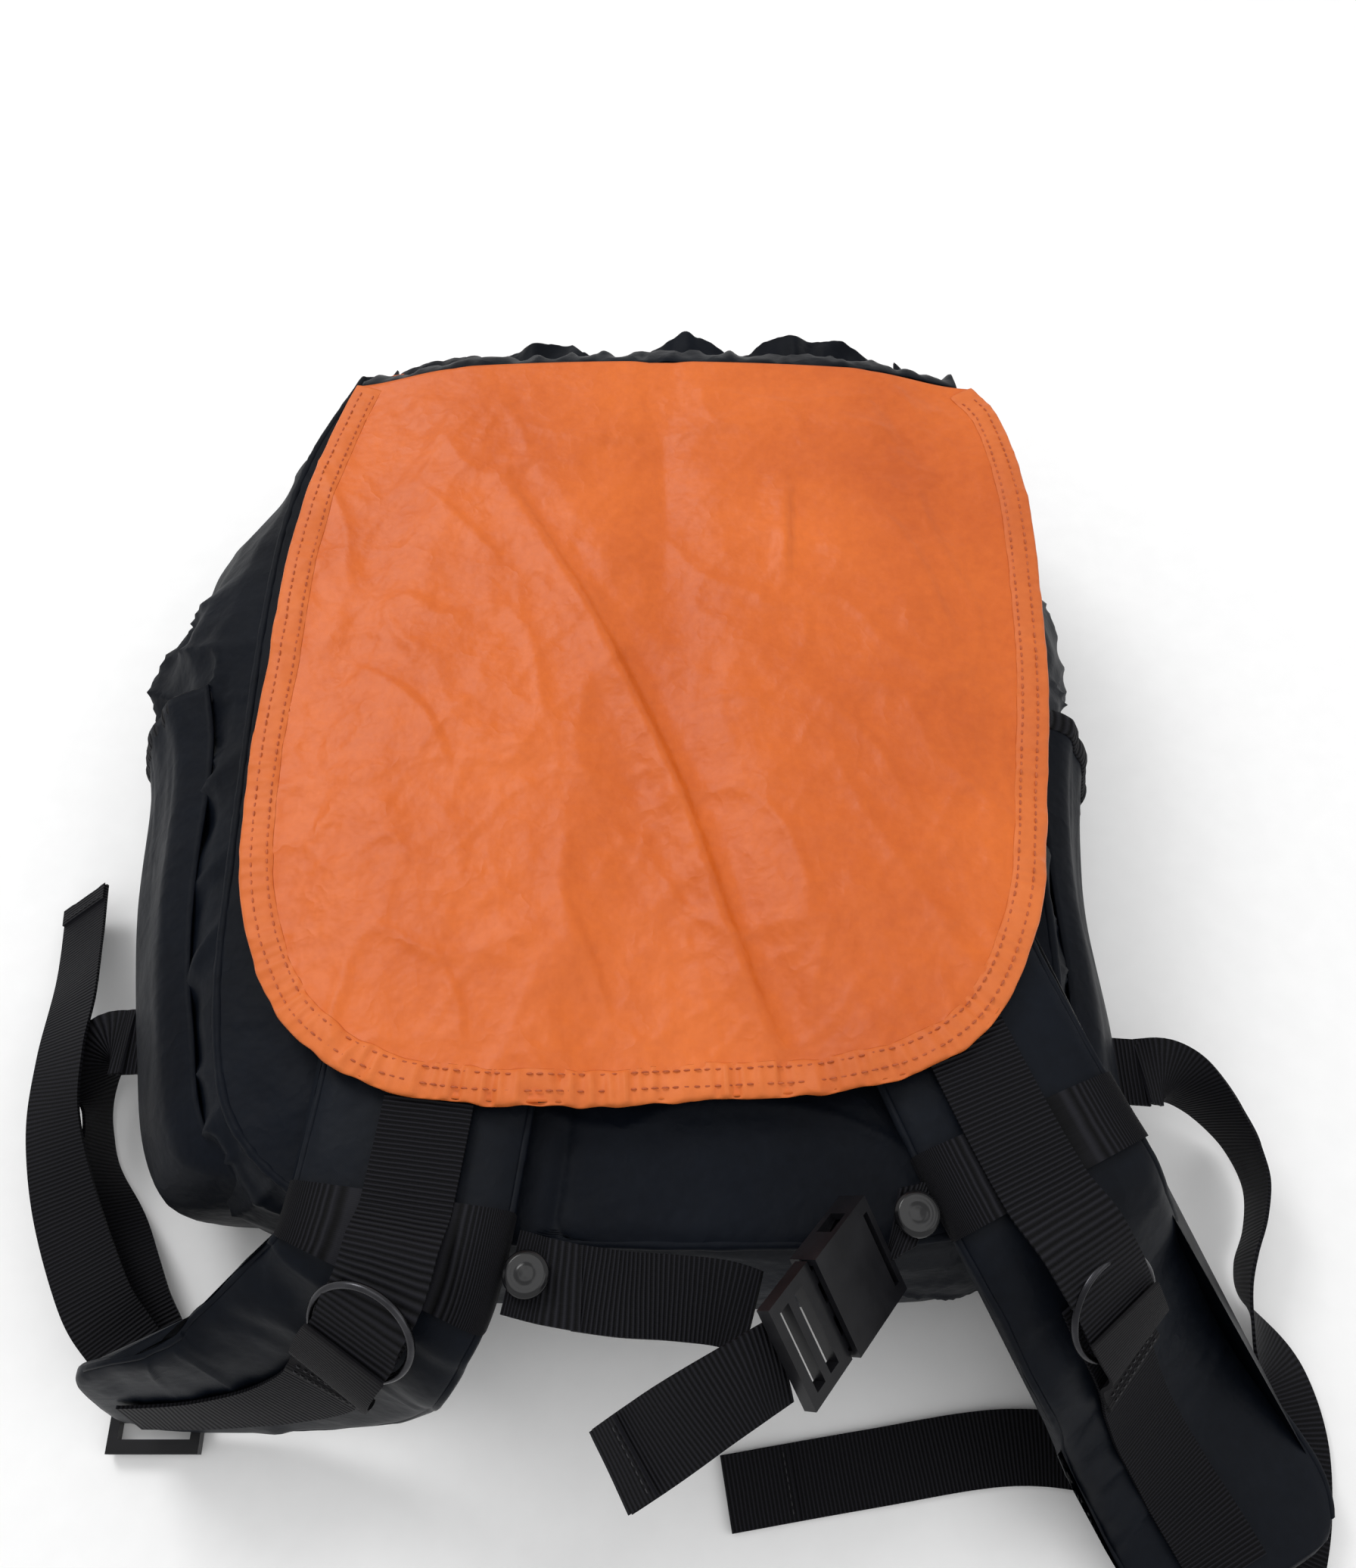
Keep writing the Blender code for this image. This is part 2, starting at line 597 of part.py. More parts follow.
def box_cutter(name, matrix, low, high):
    corners = [Vector((x, y, z)) for z in (low[2], high[2]) for y in (low[1], high[1])
               for x in (low[0], high[0])]
    faces = [(0, 2, 3, 1), (4, 5, 7, 6), (0, 1, 5, 4), (2, 6, 7, 3), (0, 4, 6, 2), (1, 3, 7, 5)]
    cutter = add_object(name, [matrix @ c for c in corners], faces, None)
    cutter.hide_render = True
    cutter.display_type = "WIRE"
    return cutter


def build_buckle(plastic):
    matrix = buckle_matrix()
    half = BUCKLE_WIDE / 2
    across = (-half, -half + 3.6, -9.0, -2.4, 2.4, 9.0, half - 3.6, half)
    along = (-1.8, 1.8, 6.4, 9.6, 14.4, LADDER_LONG, LADDER_LONG + 24.0)
    holes = {(i, 1) for i in range(1, 6)} | {(i, 3) for i in range(1, 6)}
    holes |= {(i, 5) for i in (0, 2, 4, 6)}
    male = slotted_plate("buckle_male", matrix, across, along, holes, MALE_THICK, plastic)
    set_origin(male, BUCKLE_BAR)

    start = LADDER_LONG + 0.8
    low = (-half, start, -FEMALE_THICK / 2)
    high = (half, start + FEMALE_LONG, FEMALE_THICK / 2)
    female = box_cutter("buckle_female", matrix, low, high)
    female.hide_render = False
    female.display_type = "TEXTURED"
    female.data.materials.clear()
    female.data.materials.append(plastic)
    inner = MALE_THICK / 2 + 0.6
    cuts = (((-half + 2.2, start - 5, -inner), (half - 2.2, start + 25.2, inner)),
            ((-half - 5, start + 13.0, -inner), (half + 5, start + 22.0, inner)),
            ((-12.8, start + 26.6, -9.0), (12.8, start + 28.8, 9.0)))
    for number, (near, far) in enumerate(cuts):
        cutter = box_cutter(f"buckle_cut_{number}", matrix, near, far)
        cut = female.modifiers.new(f"cut_{number}", "BOOLEAN")
        cut.operation = "DIFFERENCE"
        cut.object = cutter


def build_snaps(left_loop, right_loop, plastic, metal):
    """Press studs: a fixed base on the webbing and a domed cap that pulls off it."""
    cap = ((0.01, 0.0), (CAP_RADIUS, 0.0), (CAP_RADIUS, 0.9), (CAP_RADIUS * 0.86, 2.0),
           (CAP_RADIUS * 0.5, 2.9), (0.01, 3.2))
    base = ((0.01, 0.0), (5.2, 0.0), (5.2, 1.0), (0.01, 1.0))
    for side, frames, at in (("left", left_loop, 1), ("right", right_loop, 1)):
        centre, _, face, _ = frames[at]
        face = face if face.z > 0 else -face
        seat = centre + face * (WEB_THICK / 2 + 0.9)
        turned(f"{side}_snap_base", seat, face, base, metal, 16)
        made = turned(f"{side}_snap_cap", seat + face * (1.0 + GAP), face, cap, plastic)
        set_origin(made, seat)


def build_yoke(nylon, webbing):
    """Reinforcement where both pads are sewn down, and the haul loop over it."""
    prism("harness_yoke", ((-84, 177.4), (-84, 183.4), (94, 183.4), (94, 177.4)),
          BODY_HEIGHT + GAP, 110.0, nylon)
    arch = [(-26, 179, 111.0, 0), (-24, 179, 112.4, 0), (4, 179, 113.0, 0), (32, 179, 112.4, 0),
            (34, 179, 111.0, 0)]
    strap("haul_loop", frames_of(arch, 2), 6.4, 1.2, webbing)


def main():
    clear_scene()
    nylon = material("nylon_twill", (0.010, 0.013, 0.018), 0.5)
    lining = material("orange_lining", (0.83, 0.18, 0.04), 0.45)
    hem = material("orange_hem", (0.75, 0.20, 0.07), 0.55)
    webbing = material("ribbed_webbing", (0.012, 0.012, 0.016), 0.6)
    plastic = material("moulded_acetal", (0.010, 0.010, 0.013), 0.35)
    metal = material("black_nickel", (0.05, 0.05, 0.055), 0.3, 0.9)
    foam = material("foam_sheet", (0.30, 0.31, 0.33), 0.9)
    build_body(nylon, lining, foam)
    build_pockets(nylon, webbing, webbing, metal)
    build_flap(nylon, lining, hem, webbing)
    build_yoke(nylon, webbing)
    left = build_shoulder("left", LEFT_PAD, -197.0, (-3.0, -7.0), nylon, webbing, metal)
    right = build_shoulder("right", RIGHT_PAD, -186.0, (4.0, 9.0), nylon, webbing, metal)
    build_adjusters(webbing, plastic)
    left_loop, right_loop = build_sternum(left, right, webbing)
    build_buckle(plastic)
    build_snaps(left_loop, right_loop, plastic, metal)


main()
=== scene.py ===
"""Travel backpack lying on its front, with the flap folded back over the harness side."""
from __future__ import annotations

import json
import logging
import math
from collections.abc import Callable, Sequence
from dataclasses import dataclass, field
from enum import Enum

import bmesh
import bpy
import numpy as np
from mathutils import Matrix, Vector

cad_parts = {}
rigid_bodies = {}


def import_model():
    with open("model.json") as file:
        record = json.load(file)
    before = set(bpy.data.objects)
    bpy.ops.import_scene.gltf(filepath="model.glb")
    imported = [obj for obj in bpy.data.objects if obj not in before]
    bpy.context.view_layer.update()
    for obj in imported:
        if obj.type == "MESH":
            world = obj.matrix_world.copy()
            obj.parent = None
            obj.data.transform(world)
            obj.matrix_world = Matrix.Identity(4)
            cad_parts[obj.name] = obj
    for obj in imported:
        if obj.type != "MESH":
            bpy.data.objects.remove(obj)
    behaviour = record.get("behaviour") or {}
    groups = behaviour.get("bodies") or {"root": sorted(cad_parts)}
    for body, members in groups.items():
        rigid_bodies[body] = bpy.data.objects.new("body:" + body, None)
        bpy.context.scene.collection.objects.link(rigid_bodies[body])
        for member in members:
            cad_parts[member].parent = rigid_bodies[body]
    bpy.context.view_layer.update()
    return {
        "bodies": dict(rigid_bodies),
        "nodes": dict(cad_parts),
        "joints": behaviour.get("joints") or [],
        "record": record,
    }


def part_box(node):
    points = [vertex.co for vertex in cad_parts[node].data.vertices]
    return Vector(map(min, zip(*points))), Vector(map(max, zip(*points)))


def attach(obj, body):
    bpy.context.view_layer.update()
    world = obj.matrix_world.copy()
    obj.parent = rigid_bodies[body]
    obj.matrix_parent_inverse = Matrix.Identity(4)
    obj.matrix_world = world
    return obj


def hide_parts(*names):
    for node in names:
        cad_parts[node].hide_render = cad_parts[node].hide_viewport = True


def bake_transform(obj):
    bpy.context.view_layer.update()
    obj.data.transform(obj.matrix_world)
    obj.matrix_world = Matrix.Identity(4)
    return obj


LOG = logging.getLogger("backpack")
MM = 0.001
ROOT = "pack"
Frame = tuple[np.ndarray, np.ndarray, np.ndarray, np.ndarray]
Surface = Callable[[np.ndarray, np.ndarray], np.ndarray]

# Seam line round the back panel from mouth to mouth: x, y, side bulge, in millimetres
SEAM = np.array((
    (-126, 190, 6), (-142, 150, 10), (-150, 110, 42), (-152, 60, 58), (-151, 10, 40),
    (-149, -45, 36), (-146, -95, 30), (-136, -135, 26), (-112, -160, 12), (-78, -173, 11),
    (0, -177, 10), (80, -176, 11), (112, -169, 15), (135, -146, 22), (142, -100, 19),
    (143, -50, 14), (143, 0, 20), (142, 50, 33), (139, 100, 31), (132, 150, 16),
    (122, 190, 5)), float)
LEVEL_HEIGHTS = (0.6, 2.3, 16.0, 38.0, 60.0, 82.0, 93.0, 98.6)
LEVEL_SHARES = (0.55, 0.62, 0.86, 1.0, 0.93, 0.60, 0.28, 0.0)

# Flap edge from the left end of its seam, round the free end, to the right end
FLAP_EDGE = np.array((
    (-125, 174.5), (-130, 158), (-136, 126), (-141, 86), (-142, 31), (-143, -3.5), (-141, -45),
    (-136, -72), (-127, -94), (-116, -110.5), (-99, -124), (-80, -132), (-55, -136),
    (-29.5, -136.8), (8, -135), (46, -133), (71.5, -130.5), (92, -125), (111, -113),
    (125, -94), (135, -69), (140, -45), (149, 13), (152, 56), (153, 94), (151, 126),
    (146, 156), (137, 172.5)), float)

PAD_WIDTH = 69.0
PAD_END_WIDTH = 80.0
PAD_FLARE = (368.0, 420.0)
PAD_THICK = 9.0
WEB = 25.0
MAIN_WEB = 29.0
WEB_THICK = 1.2

LEFT_PAD = (
    (-42, 172, 107, 0), (-50, 90, 107, 0), (-58, 0, 107, 0), (-66, -90, 107, 0),
    (-71, -140, 107, 0), (-77, -181, 107, 0), (-84, -195, 100, 14), (-95, -203, 84, 34),
    (-108, -209, 67, 54), (-124, -213, 54, 68), (-146, -216, 47, 76), (-165, -217, 46, 79),
    (-182, -217, 46, 80))
RIGHT_PAD = (
    (52, 172, 107, 0), (62, 90, 107, 0), (76, 0, 107, 0), (97, -78, 107, 0),
    (111, -117, 107, 0), (124, -149, 107, 0), (135, -171, 104, 0), (148, -190, 85, 4),
    (161, -204, 60, 6), (172, -217, 38, 6), (186, -234, 21, 3), (199, -253, 14, 0),
    (210, -274, 12, 0))
LEFT_FEED = (
    (-200, -93, 40, 0), (-207, -93, 36, 10), (-213, -98, 28, 50), (-215, -108, 19, 80),
    (-213, -121, 16, 86), (-209, -138, 15, 70), (-199, -162, 14, 25), (-188, -184, 13, 0),
    (-181, -197, 9, 0), (-179, -205, 6, 0))
LEFT_TAIL = (
    (-181, -207, 11, 0), (-189, -197, 19, 0), (-198, -184, 27, 0), (-213, -155, 28, 8),
    (-223, -124, 33, 22), (-225, -98, 36, 28), (-227, -74, 31, 28), (-233, -48, 20, 30),
    (-239, -22, 12, 30))
RIGHT_FEED = (
    (187, -107, 48, 0), (195, -106.6, 45, -20), (206, -109, 36, -60), (218, -116, 26, -78),
    (228, -127, 19, -86), (232, -141, 17, -90), (229, -156, 16, -92), (223, -169, 16, -92),
    (221, -181, 14.5, -102), (225, -195, 12, -130), (231, -210, 6.5, -160),
    (233, -230, 3.6, -176), (229, -252, 3.0, -180), (223, -268, 3.0, -180))
RIGHT_TAIL = (
    (210, -270, 1.4, 0), (203, -257, 1.2, 0), (188, -243, 1.1, 0), (163, -234, 1.1, 0),
    (130, -231, 1.1, 0), (80, -238, 1.1, 0), (29, -246, 1.1, 0))
STERNUM_BAND = (
    (-19, -191, 106, 0), (-5, -192.5, 104, 0), (10, -193, 102, 0), (25, -194.5, 102, -8),
    (35, -198, 105, -20))
STERNUM_TAIL = (
    (42, -213, 125.5, 33), (32, -219, 130, 30), (18, -227, 127, 22), (4, -235, 117, 8),
    (-7, -241, 107, 0))


# ------------------------------------------------------------------ noise

def hashed(ix: np.ndarray, iy: np.ndarray, seed: int) -> np.ndarray:
    """Repeatable value from -1 to 1 for each whole-number lattice point.

    Args:
        ix: Lattice columns.
        iy: Lattice rows.
        seed: Picks one of many patterns.

    Returns:
        The values.
    """
    n = (ix * 374761393 + iy * 668265263 + seed * 974634777) & 0x7FFFFFFF
    n = ((n ^ (n >> 13)) * 1274126177) & 0x7FFFFFFF
    return ((n ^ (n >> 16)) & 0xFFFF) / 32767.5 - 1.0


def noise(x: np.ndarray, y: np.ndarray, seed: int, octaves: int = 1) -> np.ndarray:
    """Smooth value noise.

    Args:
        x: First coordinate, in cells.
        y: Second coordinate, in cells.
        seed: Which pattern.
        octaves: How many sizes of cell are added together.

    Returns:
        Values of about -1 to 1.
    """
    total, size, share = np.zeros_like(x, float), 1.0, 1.0
    for octave in range(octaves):
        px, py = x * size, y * size
        ix, iy = np.floor(px).astype(np.int64), np.floor(py).astype(np.int64)
        fx, fy = px - ix, py - iy
        fx, fy = fx * fx * (3 - 2 * fx), fy * fy * (3 - 2 * fy)
        key = seed * 31 + octave
        low = hashed(ix, iy, key) * (1 - fx) + hashed(ix + 1, iy, key) * fx
        high = hashed(ix, iy + 1, key) * (1 - fx) + hashed(ix + 1, iy + 1, key) * fx
        total += share * (low * (1 - fy) + high * fy)
        size, share = size * 2.03, share * 0.5
    return total


def creases(x: np.ndarray, y: np.ndarray, seed: int) -> np.ndarray:
    """Sharp-crested folds: 0 on the cloth, up to 1 on a crest."""
    return np.clip(1.0 - np.abs(noise(x, y, seed, 2)) * 2.6, 0, 1) ** 2


def facets(x: np.ndarray, y: np.ndarray, seed: int) -> np.ndarray:
    """Flat-sided crumples that meet in straight ridges, from 0 to about 1.

    Args:
        x: First coordinate, in crumples.
        y: Second coordinate, in crumples.
        seed: Picks one of many patterns.

    Returns:
        The height of each ridge.
    """
    ix, iy = np.floor(x).astype(np.int64), np.floor(y).astype(np.int64)
    first = np.full(x.shape, 9.0)
    second = np.full(x.shape, 9.0)
    for dx in (-1, 0, 1):
        for dy in (-1, 0, 1):
            cx, cy = ix + dx, iy + dy
            px = cx + 0.5 + 0.48 * hashed(cx, cy, seed)
            py = cy + 0.5 + 0.48 * hashed(cx, cy, seed + 1)
            reach = np.hypot(x - px, y - py)
            second = np.minimum(second, np.maximum(first, reach))
            first = np.minimum(first, reach)
    return np.clip(1.0 - 2.4 * (second - first), 0, 1) * (0.5 + 0.5 * noise(x / 2, y / 2, seed))


def smoothstep(t: np.ndarray) -> np.ndarray:
    """Ease from 0 to 1, held outside that range."""
    t = np.clip(t, 0, 1)
    return t * t * (3 - 2 * t)


# ------------------------------------------------------------------ paths

def through(points: Sequence[Sequence[float]], steps: int) -> np.ndarray:
    """Catmull-Rom curve through points.

    Args:
        points: Rows of numbers of any length.
        steps: Samples between one point and the next.

    Returns:
        The samples, one row each.
    """
    rows = np.asarray(points, float)
    padded = np.vstack((rows[:1], rows, rows[-1:]))
    out = []
    for k in range(len(rows) - 1):
        p, q, r, s = padded[k:k + 4]
        for step in range(steps):
            t = step / steps
            out.append(0.5 * (2 * q + (r - p) * t + (2 * p - 5 * q + 4 * r - s) * t * t
                              + (3 * q - p - 3 * r + s) * t ** 3))
    out.append(rows[-1])
    return np.array(out)


def travelled(line: np.ndarray) -> np.ndarray:
    """Distance along a line of points at each of them."""
    return np.concatenate(([0.0], np.cumsum(np.linalg.norm(np.diff(line, axis=0), axis=1))))


def evenly(line: np.ndarray, count: int) -> np.ndarray:
    """The same line with points at equal distances.

    Args:
        line: The points of a line.
        count: How many points to give it.

    Returns:
        The paced points.
    """
    along = travelled(line[:, :min(3, line.shape[1])])
    want = np.linspace(0, along[-1], count)
    return np.stack([np.interp(want, along, line[:, k]) for k in range(line.shape[1])], axis=1)


@dataclass
class Path:
    """A strap's route with a level-referenced roll, sampled for lofting."""

    points: Sequence[Sequence[float]]
    count: int = 160
    centre: np.ndarray = field(init=False)
    side: np.ndarray = field(init=False)
    face: np.ndarray = field(init=False)
    travel: np.ndarray = field(init=False)
    along: np.ndarray = field(init=False)

    def __post_init__(self) -> None:
        """Sample the route and the directions along it."""
        line = evenly(through(self.points, 12), self.count)
        self.centre = line[:, :3]
        run = np.gradient(self.centre, axis=0)
        self.travel = run / np.linalg.norm(run, axis=1)[:, None]
        level = np.cross(self.travel, (0, 0, 1.0))
        level /= np.linalg.norm(level, axis=1)[:, None]
        rise = np.cross(level, self.travel)
        roll = np.radians(line[:, 3])[:, None]
        self.side = level * np.cos(roll) + rise * np.sin(roll)
        self.face = np.cross(self.side, self.travel)
        self.along = travelled(self.centre)

    def at(self, where: np.ndarray) -> Frame:
        """Centre, side, face and travel at distances along the route.

        Args:
            where: Distances along the route.

        Returns:
            Centres, side directions, face directions and travel directions.
        """
        def mix(values: np.ndarray) -> np.ndarray:
            """One direction or place, between samples."""
            return np.stack([np.interp(where, self.along, values[:, k]) for k in range(3)],
                            axis=-1)
        return mix(self.centre), mix(self.side), mix(self.face), mix(self.travel)

    def distance_at_y(self, y: float) -> float:
        """How far along the route it first falls to a Y."""
        return float(self.along[int(np.argmax(self.centre[:, 1] <= y))])


def flared(distance: np.ndarray, start: float, end: float) -> np.ndarray:
    """A size that changes over the stretch where the pads widen."""
    return start + (end - start) * np.clip(
        (distance - PAD_FLARE[0]) / (PAD_FLARE[1] - PAD_FLARE[0]), 0, 1)


# ------------------------------------------------------------------ meshes

class Shading(Enum):
    """How a piece's faces meet."""

    SMOOTH = 180.0
    FOLDED = 60.0
    MOULDED = 35.0


def alone(obj: bpy.types.Object) -> None:
    """Select one object and make it active.

    Args:
        obj: The object.
    """
    bpy.ops.object.select_all(action="DESELECT")
    obj.select_set(True)
    bpy.context.view_layer.objects.active = obj


def apply_modifiers(obj: bpy.types.Object) -> None:
    """Apply every modifier on a new piece.

    Args:
        obj: The new piece.
    """
    alone(obj)
    for modifier in list(obj.modifiers):
        bpy.ops.object.modifier_apply(modifier=modifier.name)


def shade(obj: bpy.types.Object, shading: Shading) -> None:
    """Smooth a piece up to its own crease angle."""
    alone(obj)
    bpy.ops.object.shade_smooth_by_angle(angle=math.radians(shading.value))


def face_outwards(obj: bpy.types.Object) -> None:
    """Turn a closed piece's normals outwards.

    Args:
        obj: The closed piece.
    """
    alone(obj)
    bpy.ops.object.mode_set(mode="EDIT")
    bpy.ops.mesh.select_all(action="SELECT")
    bpy.ops.mesh.normals_make_consistent(inside=False)
    bpy.ops.object.mode_set(mode="OBJECT")


def cloth(name: str, columns: int, rows: int, place: Surface, size: tuple[float, float],
          thick: float = 0.0, offset: float = 0.0, closed: bool = False,
          shading: Shading = Shading.SMOOTH) -> bpy.types.Object:
    """A grid laid over a surface.

    Args:
        name: The piece's name.
        columns: Faces along U.
        rows: Faces along V.
        place: Points in millimetres for arrays of U and V from 0 to 1.
        size: Lengths in millimetres that U and V run over, for the weave.
        thick: Cloth thickness in millimetres, or 0 for a closed tube.
        offset: Which side the thickness grows on, from -1 to 1.
        closed: True where V wraps round and the ends are to be capped.
        shading: How its faces meet.

    Returns:
        The new piece.
    """
    bpy.ops.object.select_all(action="DESELECT")
    bpy.ops.mesh.primitive_grid_add(x_subdivisions=columns, y_subdivisions=rows, size=1)
    obj = bpy.context.active_object
    obj.name = obj.data.name = name
    mesh = obj.data
    flat = np.empty(len(mesh.vertices) * 3)
    mesh.vertices.foreach_get("co", flat)
    flat = flat.reshape(-1, 3)
    u, v = flat[:, 0] + 0.5, flat[:, 1] + 0.5
    layer = mesh.uv_layers.active
    uv = np.empty(len(mesh.loops) * 2)
    layer.data.foreach_get("uv", uv)
    uv = uv.reshape(-1, 2) * np.array(size) * MM
    layer.data.foreach_set("uv", uv.ravel())
    layer.name = "Weave"
    mesh.vertices.foreach_set("co", (place(u, v) * MM).ravel())
    mesh.update()
    if closed:
        alone(obj)
        bpy.ops.object.mode_set(mode="EDIT")
        bpy.ops.mesh.select_all(action="SELECT")
        bpy.ops.mesh.remove_doubles(threshold=1e-6)
        bpy.ops.mesh.select_all(action="SELECT")
        bpy.ops.mesh.fill_holes(sides=0)
        bpy.ops.mesh.select_all(action="SELECT")
        bpy.ops.mesh.normals_make_consistent(inside=False)
        bpy.ops.object.mode_set(mode="OBJECT")
    elif thick:
        solid = obj.modifiers.new("thickness", "SOLIDIFY")
        solid.thickness, solid.offset = thick * MM, offset
        solid.use_even_offset = False
        apply_modifiers(obj)
        face_outwards(obj)
    shade(obj, shading)
    return obj


def bevelled(obj: bpy.types.Object, width: float, segments: int = 3) -> None:
    """Round a moulded piece's edges by a width in millimetres.

    Args:
        obj: The piece.
        width: Width of the rounded edge.
        segments: Steps across it.
    """
    bevel = obj.modifiers.new("edges", "BEVEL")
    bevel.width, bevel.segments = width * MM, segments
    bevel.limit_method, bevel.angle_limit = "ANGLE", math.radians(30)
    bevel.harden_normals = False


def dressed(obj: bpy.types.Object, finish: bpy.types.Material,
            body: str = ROOT, stands_for: Sequence[str] = ()) -> bpy.types.Object:
    """Give a new piece its finish, its body, if any, and the frame nodes it stands for.

    Args:
        obj: The piece.
        finish: Its material.
        body: The body it rides on, or nothing.
        stands_for: Frame nodes it stands for.

    Returns:
        The piece.
    """
    obj.data.materials.clear()
    obj.data.materials.append(finish)
    if body:
        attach(obj, body)
    if stands_for:
        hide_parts(*stands_for)
    LOG.info("%s: %d faces", obj.name, len(obj.data.polygons))
    return obj


@dataclass
class Stitching:
    """Rows of thread stitches gathered into one mesh."""

    pitch: float = 3.4
    long: float = 2.4
    wide: float = 0.62
    verts: list[np.ndarray] = field(default_factory=list)
    faces: list[tuple[int, ...]] = field(default_factory=list)

    def row(self, line: np.ndarray, up: np.ndarray) -> None:
        """Add a row of stitches along a line.

        Args:
            line: Points on the cloth, in millimetres.
            up: Direction out of the cloth at each point.
        """
        along = travelled(line)
        for start in np.arange(self.pitch / 2, along[-1] - self.pitch / 2, self.pitch):
            ends = np.array((start - self.long / 2, start - self.long / 4, start + self.long / 4,
                             start + self.long / 2))
            spine = np.stack([np.interp(ends, along, line[:, k]) for k in range(3)], axis=1)
            normal = np.array([np.interp(start, along, up[:, k]) for k in range(3)])
            normal /= np.linalg.norm(normal)
            run = spine[-1] - spine[0]
            run /= np.linalg.norm(run)
            across = np.cross(normal, run)
            base = sum(len(v) for v in self.verts)
            rings = []
            for point, lift, half in zip(spine, (-0.25, 0.30, 0.30, -0.25),
                                         (0.5, 1.0, 1.0, 0.5)):
                for angle in (0, 72, 144, 216, 288):
                    a = math.radians(angle)
                    rings.append(point + normal * (lift + math.sin(a) * self.wide / 2 * half)
                                 + across * (math.cos(a) * self.wide / 2 * half))
            self.verts.append(np.array(rings))
            for ring in range(3):
                for k in range(5):
                    n = (k + 1) % 5
                    self.faces.append((base + ring * 5 + k, base + ring * 5 + n,
                                       base + ring * 5 + 5 + n, base + ring * 5 + 5 + k))
            self.faces.append(tuple(base + k for k in range(4, -1, -1)))
            self.faces.append(tuple(base + 15 + k for k in range(5)))

    def build(self, name: str) -> bpy.types.Object:
        """Make the rows into one piece.

        Args:
            name: The piece's name.

        Returns:
            The piece.
        """
        mesh = bpy.data.meshes.new(name)
        mesh.from_pydata((np.vstack(self.verts) * MM).tolist(), [], self.faces)
        obj = bpy.data.objects.new(name, mesh)
        bpy.context.scene.collection.objects.link(obj)
        face_outwards(obj)
        shade(obj, Shading.SMOOTH)
        return obj


# ------------------------------------------------------------------ finishes

class Nodes:
    """A material's node tree, built one node at a time."""

    def __init__(self, name: str) -> None:
        """Start a material with its shader.

        Args:
            name: The material's name.
        """
        self.material = bpy.data.materials.new(name)
        self.material.use_nodes = True
        self.tree = self.material.node_tree
        self.shader = self.tree.nodes["Principled BSDF"]

    def add(self, kind: str, **values: object) -> bpy.types.Node:
        """Add a node and set its properties and unlinked sockets by name.

        Args:
            kind: The node's type.
            values: Its properties and socket values by name.

        Returns:
            The node.
        """
        node = self.tree.nodes.new(kind)
        for key, value in values.items():
            if hasattr(node, key):
                setattr(node, key, value)
            else:
                node.inputs[key.replace("_", " ")].default_value = value
        return node

    def link(self, source: bpy.types.NodeSocket, target: bpy.types.NodeSocket) -> None:
        """Join two sockets."""
        self.tree.links.new(source, target)

    def maths(self, operation: str, first: object, second: object = 0.0) -> bpy.types.NodeSocket:
        """One arithmetic step on sockets or numbers.

        Args:
            operation: The step's name.
            first: A socket or a number.
            second: A socket or a number.

        Returns:
            The result.
        """
        node = self.tree.nodes.new("ShaderNodeMath")
        node.operation = operation
        for socket, value in zip(node.inputs, (first, second)):
            if isinstance(value, (int, float)):
                socket.default_value = value
            else:
                self.link(value, socket)
        return node.outputs[0]

    def bump(self, height: bpy.types.NodeSocket, distance: float, strength: float = 1.0,
             after: bpy.types.Node | None = None) -> bpy.types.Node:
        """Bump the surface by a height of the given distance in metres.

        Args:
            height: The height, 0 to 1.
            distance: How far height 1 stands out, in metres.
            strength: Share of the effect.
            after: A bump that this one adds to.

        Returns:
            The bump node.
        """
        node = self.add("ShaderNodeBump", Strength=strength, Distance=distance)
        self.link(height, node.inputs["Height"])
        if after is not None:
            self.link(after.outputs[0], node.inputs["Normal"])
        return node

    def noise(self, coords: bpy.types.NodeSocket, scale: float, detail: float = 2.0,
              roughness: float = 0.5) -> bpy.types.NodeSocket:
        """Noise from 0 to 1.

        Args:
            coords: Where to read it.
            scale: Lumps per metre.
            detail: How many finer layers.
            roughness: How strong the finer layers are.

        Returns:
            The value.
        """
        node = self.add("ShaderNodeTexNoise", Scale=scale, Detail=detail, Roughness=roughness)
        self.link(coords, node.inputs["Vector"])
        return node.outputs["Fac"]

    def ramp(self, value: bpy.types.NodeSocket, low: Sequence[float], high: Sequence[float],
             start: float = 0.0, end: float = 1.0) -> bpy.types.NodeSocket:
        """A colour between two, by a value.

        Args:
            value: The value, 0 to 1.
            low: Colour at the start.
            high: Colour at the end.
            start: Value where the change starts.
            end: Value where it ends.

        Returns:
            The colour.
        """
        node = self.add("ShaderNodeValToRGB")
        node.color_ramp.elements[0].position, node.color_ramp.elements[1].position = start, end
        node.color_ramp.elements[0].color = (*low, 1)
        node.color_ramp.elements[1].color = (*high, 1)
        self.link(value, node.inputs[0])
        return node.outputs[0]


